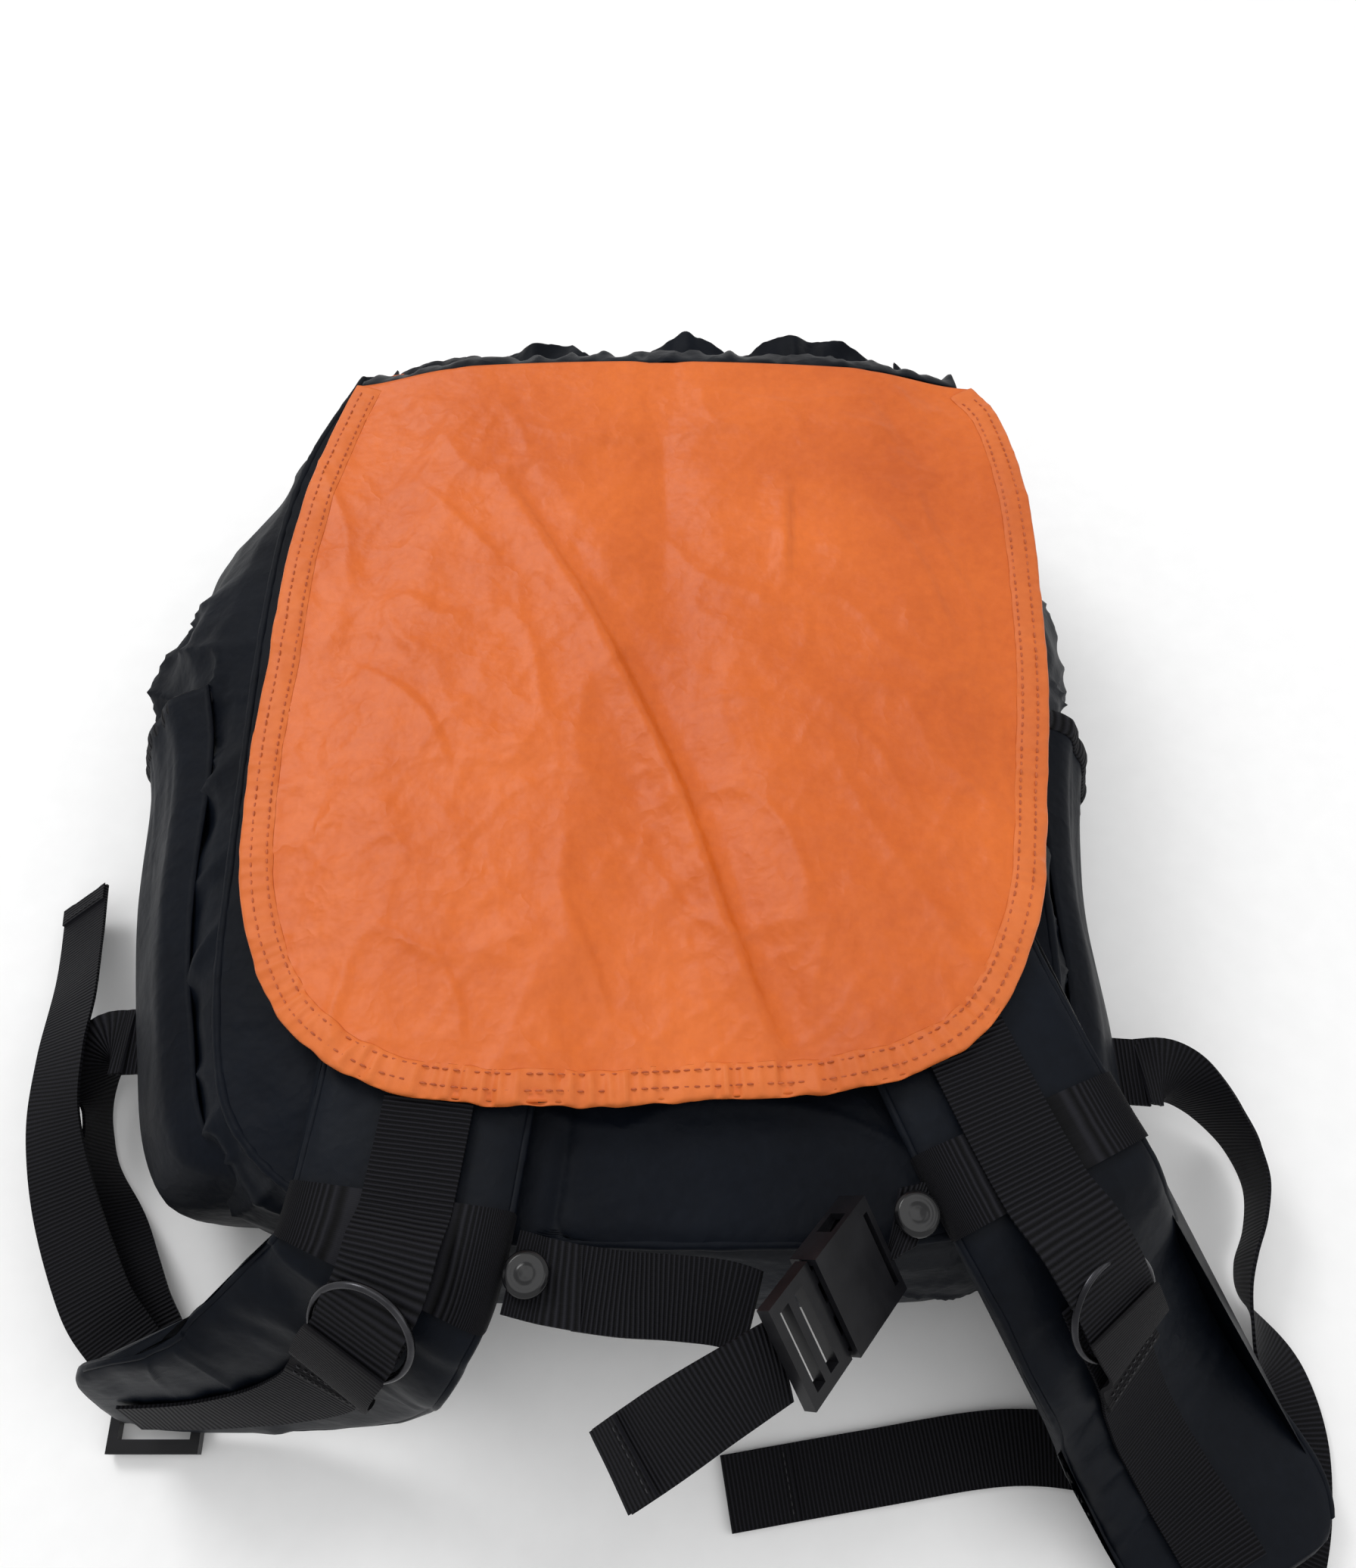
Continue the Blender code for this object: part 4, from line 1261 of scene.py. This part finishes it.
    def hem_place(self, u: np.ndarray, v: np.ndarray) -> np.ndarray:
        """The folded hem: U along the edge and V round its section.

        Args:
            u: Share of the way along the surface's first direction, 0 to 1.
            v: Share of the way along its second direction, 0 to 1.

        Returns:
            The points.
        """
        where = u * self.along[-1]
        section = np.array(((0.5, -0.95), (-0.7, -0.6), (-1.15, 0.1), (-0.6, 0.95), (1.2, 1.35),
                            (5.2, 1.6), (9.0, 1.25), (10.3, 0.75), (10.8, 0.45), (9.4, 0.3),
                            (5.0, 0.2), (0.8, 0.1), (0.5, -0.95)))
        t = np.linspace(0, 1, len(section))
        inset, lift = np.interp(v, t, section[:, 0]), np.interp(v, t, section[:, 1])
        gather = (noise(where / 3.6, inset * 0.05 + 3, 91)
                  + 0.6 * noise(where / 7.5, inset * 0.1, 93))
        top = smoothstep((lift - 0.4) / 0.5)
        stray = 2.4 * noise(where / 15, inset * 0, 99)
        pleats = 0.6 - np.abs(np.sin(where * np.pi / self.pleat_pitch + stray))
        lift = lift + top * (0.9 * gather + 1.1 * pleats) * self.puckers(where)
        inset = inset + 0.8 * noise(where / 6.0, where * 0, 95) * self.puckers(where)
        return self.hem_line(inset, where, lift)

    def build(self) -> None:
        """Make the flap's cloth, hem and stitches in place of the frame's flap pieces."""
        face = cloth("flap_cloth", 206, 224, self.cloth_place, (290, 320), 0.9, 0.0)
        dressed(face, self.palette.lining, "",
                ("flap_lining", "flap_outer"))
        face.data.materials.append(self.palette.nylon)
        for polygon in face.data.polygons:
            polygon.material_index = 1 if polygon.normal.z < 0.1 else 0
        hem = cloth("flap_hem_fold", 900, 24, self.hem_place, (900, 24), closed=True)
        dressed(hem, self.palette.hem, "", ("flap_hem",))
        thread = Stitching()
        for inset in self.stitch_rows:
            where = np.linspace(3, self.along[-1] - 3, 1200)
            flat = np.full_like(where, inset)
            rise = 1.45 if inset < 5 else 1.15
            line = self.hem_line(flat, where, np.full_like(where, rise))
            thread.row(line, np.tile((0.0, 0.0, 1.0), (len(line), 1)))
        stitches = dressed(thread.build("flap_hem_stitches"), self.palette.pale_thread,
                           "")
        for piece in (face, hem, stitches):
            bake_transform(piece)


# ------------------------------------------------------------------ harness

def ribbon(name: str, path: Path, width: float, start: float, end: float, lift: float = 0.0,
           shift: tuple[float, float] = (0.0, 0.0), thick: float = WEB_THICK,
           cup: float = 0.0, humps: Sequence[tuple[float, float, float]] = ()
           ) -> bpy.types.Object:
    """Flat webbing along a stretch of a route.

    Args:
        name: The piece's name.
        path: The route.
        width: Width in millimetres.
        start: Distance along the route where it starts.
        end: Distance where it ends.
        lift: Height off the route's centre.
        shift: Move across the route, above and below the pads' flare.
        thick: Thickness in millimetres.
        cup: How far its edges curl up.
        humps: Distance, height and half length of each place where it rides over something.

    Returns:
        The webbing.
    """
    def place(u: np.ndarray, v: np.ndarray) -> np.ndarray:
        """The webbing's middle surface.

        Args:
            u: Share of the way along the surface's first direction, 0 to 1.
            v: Share of the way along its second direction, 0 to 1.

        Returns:
            The points.
        """
        where = start + (end - start) * u
        centre, side, face, _ = path.at(where)
        across = (v - 0.5) * width + flared(where, *shift)
        across = across + 0.25 * noise(where / 40, where * 0, 5)
        rise = lift + cup * (2 * v - 1) ** 2 + 0.18 * noise(where / 22, v * 2, 7)
        for at, tall, half in humps:
            rise = rise + tall * (1 - smoothstep((np.abs(where - at) - half) / 13))
        return centre + side * across[:, None] + face * rise[:, None]

    return cloth(name, max(24, int((end - start) / 1.6)), 10, place, (end - start, width),
                 thick, 0.0, shading=Shading.FOLDED)


@dataclass
class ShoulderStrap:
    """One padded strap with its webbing, ring, tab and lower webbing."""

    side: str
    route: Sequence[Sequence[float]]
    ring_y: float
    shift: tuple[float, float]
    palette: Palette
    seed: int
    tip_round: float = 26.0
    tip_narrow: float = 0.45
    piping_radius: float = 1.5
    tab_long: float = 34.0
    ring_radius: float = 17.0
    wire_radius: float = 1.3
    path: Path = field(init=False)

    def __post_init__(self) -> None:
        """Sample the pad's route."""
        self.path = Path(self.route, 260)

    def pad_place(self, u: np.ndarray, v: np.ndarray) -> np.ndarray:
        """The pad's cloth: U along it, V round its section.

        Args:
            u: Share of the way along the surface's first direction, 0 to 1.
            v: Share of the way along its second direction, 0 to 1.

        Returns:
            The points.
        """
        end = self.path.along[-1]
        where = end * u
        centre, side, face, _ = self.path.at(where)
        half = flared(where, PAD_WIDTH, PAD_END_WIDTH) / 2 - 0.4
        tip = np.clip((end - where) / self.tip_round, 0, 1)
        half = half * (1 - self.tip_narrow * (1 - np.sqrt(1 - (1 - tip) ** 2)))
        angle = 2 * np.pi * v
        c, s = np.cos(angle), np.sin(angle)
        across = np.sign(c) * np.abs(c) ** 0.32 * half
        plump = PAD_THICK / 2 - 0.2
        rise = np.sign(s) * np.abs(s) ** 0.62 * plump
        flat = np.abs(s) ** 0.8
        bend = np.clip((where - 345) / 60, 0, 1)
        wrinkle = (0.35 + 1.2 * bend) * noise(where / 13, across / 34, self.seed, 2) * 0.5
        ridge = (0.2 + 1.3 * bend) * creases(where / 24, across / 60, self.seed + 3) * 0.7
        dip = 0.5 + 0.5 * np.cos(np.clip((half - np.abs(across)) / 5.0, 0, 1) * np.pi)
        rise = rise + np.sign(s) * flat * (wrinkle + ridge - 0.7 - 0.5 * dip)
        close = np.where((u < 1e-6) | (u > 1 - 1e-6), 0.35, 1.0)
        return centre + side * across[:, None] + face * (rise * close)[:, None]

    def piping_place(self, sign: float) -> Surface:
        """The bound edge along one side of the pad.

        Args:
            sign: -1 for the inner edge, 1 for the outer.

        Returns:
            The surface.
        """
        def place(u: np.ndarray, v: np.ndarray) -> np.ndarray:
            """U along the edge and V round it.

            Args:
                u: Share of the way along the surface's first direction, 0 to 1.
                v: Share of the way along its second direction, 0 to 1.

            Returns:
                The points.
            """
            end = self.path.along[-1]
            where = 2 + (end - 8) * u
            centre, side, face, _ = self.path.at(where)
            tip = np.clip((end - where) / self.tip_round, 0, 1)
            half = (flared(where, PAD_WIDTH, PAD_END_WIDTH) / 2
                    * (1 - self.tip_narrow * (1 - np.sqrt(1 - (1 - tip) ** 2))))
            angle = 2 * np.pi * v
            swell = 1 + 0.1 * noise(where / 4, v, self.seed + 9)
            across = sign * half + self.piping_radius * np.cos(angle) * swell
            rise = self.piping_radius * np.sin(angle) * swell
            return centre + side * across[:, None] + face * rise[:, None]
        return place

    def build(self) -> None:
        """Make the strap's pieces."""
        side, path, finish = self.side, self.path, self.palette
        long = float(path.along[-1])
        ring = path.distance_at_y(self.ring_y)
        pad = cloth(f"{side}_pad_cloth", 300, 72, self.pad_place, (long, 150), closed=True)
        dressed(pad, finish.pad, ROOT, (f"{side}_shoulder_pad",))
        for edge, sign in (("inner", -1.0), ("outer", 1.0)):
            dressed(cloth(f"{side}_pad_{edge}_piping", 260, 8, self.piping_place(sign),
                          (long, 9), closed=True), finish.pad)
        lift = PAD_THICK / 2 + 1.5 * WEB_THICK + 0.5
        main = ribbon(f"{side}_main_strap", path, MAIN_WEB, 14, ring + 4, lift, self.shift,
                      humps=((ring - 8, 7.8, 15.0),))
        dressed(main, finish.webbing, ROOT, (f"{side}_main_webbing",))
        lower = ribbon(f"{side}_lower_strap", path, MAIN_WEB - 1, ring - 6, long - 9,
                       PAD_THICK / 2 + 0.9, self.shift, 1.1)
        dressed(lower, finish.webbing, ROOT, (f"{side}_lower_webbing",))
        self.tab(ring, lift)
        self.ring()

    def tab(self, ring: float, lift: float) -> None:
        """The folded tab that holds the ring, with its stitched lower end.

        Args:
            ring: Distance along the route to the ring.
            lift: Height of the webbing over the route's centre.
        """
        path, finish = self.path, self.palette

        def place(u: np.ndarray, v: np.ndarray) -> np.ndarray:
            """U down the tab, rising over the ring's wire at its top.

            Args:
                u: Share of the way along the surface's first direction, 0 to 1.
                v: Share of the way along its second direction, 0 to 1.

            Returns:
                The points.
            """
            where = ring - 1.5 + self.tab_long * u
            centre, side, face, _ = path.at(where)
            across = (v - 0.5) * (MAIN_WEB + 1) + flared(where, *self.shift)
            wire = 8.4 * (1 - smoothstep((u - 0.34) / 0.40))
            fold = 1.3 * np.exp(-((u - 0.93) / 0.05) ** 2)
            rise = lift + 1.4 + wire + fold - 0.6 * smoothstep((u - 0.2) / 0.3)
            return centre + side * across[:, None] + face * rise[:, None]

        tab = cloth(f"{self.side}_ring_fold", 60, 16, place, (34, 30), 1.3, 0.0,
                    shading=Shading.FOLDED)
        dressed(tab, finish.tab, ROOT, (f"{self.side}_ring_tab",))
        thread = Stitching(2.6, 1.9, 0.5)
        for cut in (0.84, 0.90):
            v = np.linspace(0.06, 0.94, 60)
            line = place(np.full_like(v, cut), v)
            _, _, face, _ = path.at(np.array([ring + self.tab_long * cut]))
            thread.row(line + face * 0.75, np.repeat(face, len(v), axis=0))
        dressed(thread.build(f"{self.side}_ring_fold_stitches"), finish.thread)

    def ring(self) -> None:
        """The plated ring, lying over the webbing with its lower part in the tab's fold."""
        joint = next(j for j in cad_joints() if j["name"] == f"{self.side}_ring_turn")
        centre, axis = Vector(joint["pos_m"]), Vector(joint["axis"]).normalized()
        bpy.ops.object.select_all(action="DESELECT")
        bpy.ops.mesh.primitive_torus_add(major_segments=72, minor_segments=18,
                                         major_radius=self.ring_radius * MM,
                                         minor_radius=self.wire_radius * MM)
        made = bpy.context.active_object
        made.name = made.data.name = f"{self.side}_wire_ring"
        turn = axis.to_track_quat("Z", "Y").to_matrix().to_4x4()
        made.data.transform(Matrix.Translation(centre) @ turn)
        shade(made, Shading.SMOOTH)
        dressed(made, self.palette.metal, f"{self.side}_ring",
                (f"{self.side}_ring",))


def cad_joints() -> list[dict]:
    """The frame's joints as the record gives them."""
    return FRAME["record"]["behaviour"]["joints"]


@dataclass
class ChestStrap:
    """Loops round the pads, snap tabs, band, the tail on the buckle's plug, press studs and the
    anchor tabs.
    """

    palette: Palette
    left: ShoulderStrap
    right: ShoulderStrap
    cap_radius: float = 7.2
    left_loop_y: float = -177.0
    right_loop_y: float = -149.0

    def loop(self, strap: ShoulderStrap, middle_y: float) -> None:
        """The webbing loop round a pad.

        Args:
            strap: The strap it goes round.
            middle_y: Where its middle lies along the pack.
        """
        middle = strap.path.distance_at_y(middle_y)

        def place(u: np.ndarray, v: np.ndarray) -> np.ndarray:
            """U round the pad and V along it.

            Args:
                u: Share of the way along the surface's first direction, 0 to 1.
                v: Share of the way along its second direction, 0 to 1.

            Returns:
                The points.
            """
            where = middle + (v - 0.5) * WEB
            centre, side, face, _ = strap.path.at(where)
            angle = 2 * np.pi * u
            c, s = np.cos(angle), np.sin(angle)
            half, up = PAD_WIDTH / 2 + 1.1, PAD_THICK / 2 + 1.0
            across = np.sign(c) * np.abs(c) ** 0.22 * half
            rise = np.sign(s) * np.abs(s) ** 0.45 * up
            return centre + side * across[:, None] + face * rise[:, None]

        obj = cloth(f"{strap.side}_loop_webbing", 150, 16, place, (2 * PAD_WIDTH + 24, WEB),
                    WEB_THICK, 0.0, shading=Shading.FOLDED)
        dressed(obj, self.palette.webbing, ROOT,
                (f"{strap.side}_sternum_loop",))

    def snap(self, side: str) -> None:
        """A press stud's domed cap with a raised rim and a plain ring in its face.

        Args:
            side: Left or right.
        """
        joint = next(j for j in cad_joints() if j["name"] == f"{side}_snap_pull")
        low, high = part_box(f"{side}_snap_cap")
        axis = Vector(joint["axis"]).normalized()
        middle = Vector([(a + b) / 2 for a, b in zip(low, high)])
        bpy.ops.object.select_all(action="DESELECT")
        bpy.ops.mesh.primitive_uv_sphere_add(segments=64, ring_count=32, radius=1)
        obj = bpy.context.active_object
        obj.name = obj.data.name = f"{side}_snap_dome"
        for vert in obj.data.vertices:
            r = math.hypot(vert.co.x, vert.co.y)
            flat = Vector((vert.co.x, vert.co.y, 0)) * self.cap_radius * MM
            if vert.co.z < 0:
                z = -1.6
            else:
                z = -0.4 + 1.9 * math.sqrt(max(0.0, 1 - r ** 2.6))
                z += 0.30 * math.exp(-((r - 0.80) / 0.06) ** 2)
                z -= 0.28 * math.exp(-((r - 0.50) / 0.05) ** 2)
                z += 0.25 * math.exp(-(r / 0.22) ** 2)
            vert.co = flat + Vector((0, 0, z * MM))
        turn = axis.to_track_quat("Z", "Y").to_matrix().to_4x4()
        obj.data.transform(Matrix.Translation(middle) @ turn)
        shade(obj, Shading.FOLDED)
        dressed(obj, self.palette.cap, f"{side}_cap",
                (f"{side}_snap_cap",))

    def lead(self, name: str, points: Sequence[Sequence[float]], node: str) -> None:
        """A snap tab given by places and width directions.

        Args:
            name: The piece's name.
            points: Places and width directions, end to end.
            node: The frame node it stands for.
        """
        rows = np.array(points, float)
        fine = np.stack([np.interp(np.linspace(0, len(rows) - 1, 30), np.arange(len(rows)),
                                   rows[:, k]) for k in range(6)], axis=1)

        def place(u: np.ndarray, v: np.ndarray) -> np.ndarray:
            """U along the tab and V across it.

            Args:
                u: Share of the way along the surface's first direction, 0 to 1.
                v: Share of the way along its second direction, 0 to 1.

            Returns:
                The points.
            """
            t = u * 29
            at = np.stack([np.interp(t, np.arange(30), fine[:, k]) for k in range(6)], axis=1)
            side = at[:, 3:] / np.linalg.norm(at[:, 3:], axis=1)[:, None]
            return at[:, :3] + side * ((v - 0.5) * WEB)[:, None]

        long = float(np.linalg.norm(rows[-1, :3] - rows[0, :3]))
        obj = cloth(name, 30, 12, place, (long, WEB), WEB_THICK, 0.0, shading=Shading.FOLDED)
        dressed(obj, self.palette.webbing, ROOT, (node,))

    def build(self) -> None:
        """Make the chest strap."""
        finish = self.palette
        self.loop(self.left, self.left_loop_y)
        self.loop(self.right, self.right_loop_y)
        self.lead("left_snap_webbing", (
            (-39.2, -186.6, 108.0, 0.2, 1, 0), (-34.2, -187.9, 108.2, 0.2, 1, 0),
            (-29, -189.2, 107.8, 0.1, 1, 0), (-17.5, -191.2, 106.6, 0, 1, 0)),
            "left_snap_tab")
        self.lead("right_snap_webbing", (
            (90.8, -167.8, 108.0, 0.42, 0.9, 0), (86, -170.2, 108.4, 0.42, 0.9, 0.05),
            (82, -172.2, 107.8, 0.38, 0.87, 0.15), (78.5, -173.8, 106.6, 0.2, 0.9, 0.35)),
            "right_snap_tab")
        band, tail = Path(STERNUM_BAND, 80), Path(STERNUM_TAIL, 80)
        piece = ribbon("chest_band", band, WEB, 0, float(band.along[-1]), cup=0.4)
        dressed(piece, finish.webbing, ROOT, ("sternum_band",))
        piece = ribbon("chest_tail", tail, WEB, 0, float(tail.along[-1]), cup=-0.5)
        dressed(piece, finish.webbing, "buckle_plug", ("sternum_tail",))
        self.hem(tail, "chest_tail_hem", "buckle_plug", float(tail.along[-1]), 11.0)
        self.snap("left")
        self.snap("right")
        self.lead("left_anchor_webbing", ((-180, -92.5, 40, 0, 1, 0), (-199.5, -93.5, 40, 0, 1, 0)),
                  "left_anchor_tab")
        self.lead("right_anchor_webbing", ((165, -106, 48, 0, 1, 0), (186, -107.5, 48, 0, 1, 0)),
                  "right_anchor_tab")

    def hem(self, path: Path, name: str, body: str, end: float, long: float) -> None:
        """The folded and stitched end of a strap's tail.

        Args:
            path: The strap's route.
            name: The piece's name.
            body: The body it rides on.
            end: Distance to the strap's end.
            long: Length of the fold.
        """
        fold = ribbon(name, path, WEB - 0.6, end - long, end + 0.4, 1.15, thick=1.1)
        dressed(fold, self.palette.webbing, body)
        thread = Stitching(2.6, 1.9, 0.5)
        centre, side, face, _ = path.at(np.full(40, end - long + 1.6))
        line = centre + side * np.linspace(-WEB / 2 + 2, WEB / 2 - 2, 40)[:, None] + face * 1.75
        thread.row(line, face)
        dressed(thread.build(f"{name}_stitches"), self.palette.thread, body)


@dataclass
class Adjusters:
    """The four loose adjuster straps and what they are sewn to."""

    palette: Palette
    chest: ChestStrap

    def build(self) -> None:
        """Make the adjuster webbing, the hems on the tails and the lock loop."""
        finish = self.palette
        routes = (("left_adjuster_feed", LEFT_FEED), ("left_adjuster_tail", LEFT_TAIL),
                  ("right_adjuster_feed", RIGHT_FEED), ("right_adjuster_tail", RIGHT_TAIL))
        for node, route in routes:
            if "feed" in node:
                first, second = np.array(route[0], float), np.array(route[1], float)
                back = (first - second) / np.linalg.norm(first[:3] - second[:3])
                route = (first + 3.0 * back, *route)
            path = Path(route, 200)
            long = float(path.along[-1])
            name = node.replace("adjuster", "adjusting")
            dressed(ribbon(f"{name}_strap", path, WEB, 0, long), finish.webbing,
                    ROOT, (node,))
            if "tail" in node:
                hem = 24.0 if node.startswith("right") else 8.0
                self.chest.hem(path, f"{name}_hem", ROOT, long, hem)
        self.lock_loop()


    def lock_loop(self) -> None:
        """The sewn loop from the right pad's tip round the ladder lock's bar."""
        heading, across = np.array((0.46, -0.888, 0.0)), np.array((0.888, 0.46, 0.0))
        bar = np.array((218.0, -288.0, 0.0))
        turn = np.array(((-22, 13.4), (-12, 12.2), (-5, 10.6), (0, 9.4), (2.8, 8.0), (3.7, 5.6),
                         (2.8, 3.2), (0, 2.2), (-5, 4.4), (-12, 8.6), (-22, 10.6)))
        run = np.concatenate(((0.0,), np.cumsum(np.hypot(*np.diff(turn, axis=0).T))))

        def place(u: np.ndarray, v: np.ndarray) -> np.ndarray:
            """U round the bar and V across the webbing.

            Args:
                u: Share of the way along the surface's first direction, 0 to 1.
                v: Share of the way along its second direction, 0 to 1.

            Returns:
                The points.
            """
            ahead, up = (np.interp(u * run[-1], run, turn[:, k]) for k in range(2))
            spot = bar + heading * ahead[:, None] + across * ((v - 0.5) * 22)[:, None]
            spot[:, 2] = up
            return spot

        dressed(cloth("right_lock_loop", 60, 10, place, (float(run[-1]), 22), 1.1, 0.0,
                      shading=Shading.FOLDED), self.palette.webbing)


# ------------------------------------------------------------------ kept pieces and stage

def softened(node: bpy.types.Object, name: str, finish: bpy.types.Material) -> None:
    """Stand a rounded cloth piece in for a plain one.

    Args:
        node: The frame's piece.
        name: The new piece's name.
        finish: Its cloth.
    """
    alone(node)
    bpy.ops.object.duplicate()
    made = bpy.context.active_object
    made.name = made.data.name = name
    bpy.ops.object.parent_clear(type="CLEAR_KEEP_TRANSFORM")
    bpy.ops.object.transform_apply(location=True, rotation=True, scale=True)
    made.modifiers.new("Weave", "REMESH").voxel_size = 0.0008
    made.modifiers["Weave"].mode = "VOXEL"
    smooth = made.modifiers.new("Soften", "SMOOTH")
    smooth.factor, smooth.iterations = 0.5, 6
    apply_modifiers(made)
    shade(made, Shading.SMOOTH)
    dressed(made, finish, ROOT, (node.name,))


def redress_frame(palette: Palette, nodes: dict[str, bpy.types.Object]) -> None:
    """Give every frame node that stays in view its finish and rounded edges.

    Args:
        palette: Every finish.
        nodes: The frame's pieces by name.
    """
    finishes = {
        "buckle": palette.plastic, "ladder": palette.plastic, "stud": palette.metal,
        "eyelet": palette.metal, "snap_base": palette.metal, "foam": palette.foam,
        "lining_sack": palette.lining, "yoke": palette.nylon, "seam_band": palette.nylon,
        "anchor_tab": palette.nylon, "haul_loop": palette.nylon}
    for name, obj in nodes.items():
        finish = next((f for key, f in finishes.items() if key in name), None)
        if finish is None:
            continue
        obj.data.materials.clear()
        obj.data.materials.append(finish)
        if "buckle" in name or "ladder" in name:
            bevelled(obj, 0.55, 3)
    softened(nodes["haul_loop"], "haul_loop_webbing", palette.nylon)
    softened(nodes["harness_yoke"], "yoke_cloth", palette.nylon)


@dataclass
class Studio:
    """Pale floor, soft lights and the camera."""

    eye: tuple[float, float, float] = (0.012, -0.250, 0.545)
    tilt: float = 28.0
    lens: float = 31.2

    def area(self, name: str, place: Sequence[float], target: Sequence[float], size: float,
             power: float) -> None:
        """A square soft light aimed at a point.

        Args:
            name: The light's name.
            place: Where it hangs.
            target: What it points at.
            size: Side of its square.
            power: Its power in watts.
        """
        data = bpy.data.lights.new(name, "AREA")
        data.shape, data.size, data.energy = "SQUARE", size, power
        light = bpy.data.objects.new(name, data)
        light.location = place
        aim = Vector(target) - Vector(place)
        light.rotation_euler = aim.to_track_quat("-Z", "Y").to_euler()
        bpy.context.scene.collection.objects.link(light)

    def build(self) -> None:
        """Set the stage."""
        bpy.ops.object.select_all(action="DESELECT")
        bpy.ops.mesh.primitive_grid_add(x_subdivisions=8, y_subdivisions=8, size=12,
                                        location=(0, 0, -0.0006))
        floor = bpy.context.active_object
        floor.name = "studio_floor"
        floor.data.materials.append(Moulded("PaleFloor", (0.93, 0.93, 0.93), (0.95, 0.95, 0.95),
                                            0.9).build())
        world = bpy.data.worlds.new("studio")
        world.use_nodes = True
        world.node_tree.nodes["Background"].inputs[0].default_value = (1, 1, 1, 1)
        world.node_tree.nodes["Background"].inputs[1].default_value = 0.72
        bpy.context.scene.world = world
        self.area("key", (-0.9, 0.9, 1.5), (0, 0, 0.05), 0.7, 13)
        self.area("fill", (1.3, -0.4, 1.2), (0, 0, 0.05), 1.2, 3.5)
        self.area("top", (0.0, 0.1, 1.9), (0, 0, 0.05), 1.2, 4.5)
        data = bpy.data.cameras.new("camera")
        data.lens, data.sensor_width = self.lens, 36.0
        data.clip_start, data.clip_end = 0.01, 50
        camera = bpy.data.objects.new("camera", data)
        camera.location = self.eye
        camera.rotation_euler = (math.radians(self.tilt), 0, 0)
        bpy.context.scene.collection.objects.link(camera)
        bpy.context.scene.camera = camera
        bpy.context.scene.view_settings.view_transform = "Standard"


FRAME: dict = {}


def main() -> None:
    """Build the pack, its finishes and the stage."""
    logging.basicConfig(level=logging.INFO)
    FRAME.update(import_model())
    palette = mix_palette()
    redress_frame(palette, FRAME["nodes"])
    BodyShell(palette).build()
    Flap(palette).build()
    left = ShoulderStrap("left", LEFT_PAD, -197.0, (-3.0, -7.0), palette, 101)
    right = ShoulderStrap("right", RIGHT_PAD, -186.0, (4.0, 9.0), palette, 131)
    left.build()
    right.build()
    chest = ChestStrap(palette, left, right)
    chest.build()
    Adjusters(palette, chest).build()
    Studio().build()
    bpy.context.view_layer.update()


if __name__ == "__main__":
    main()
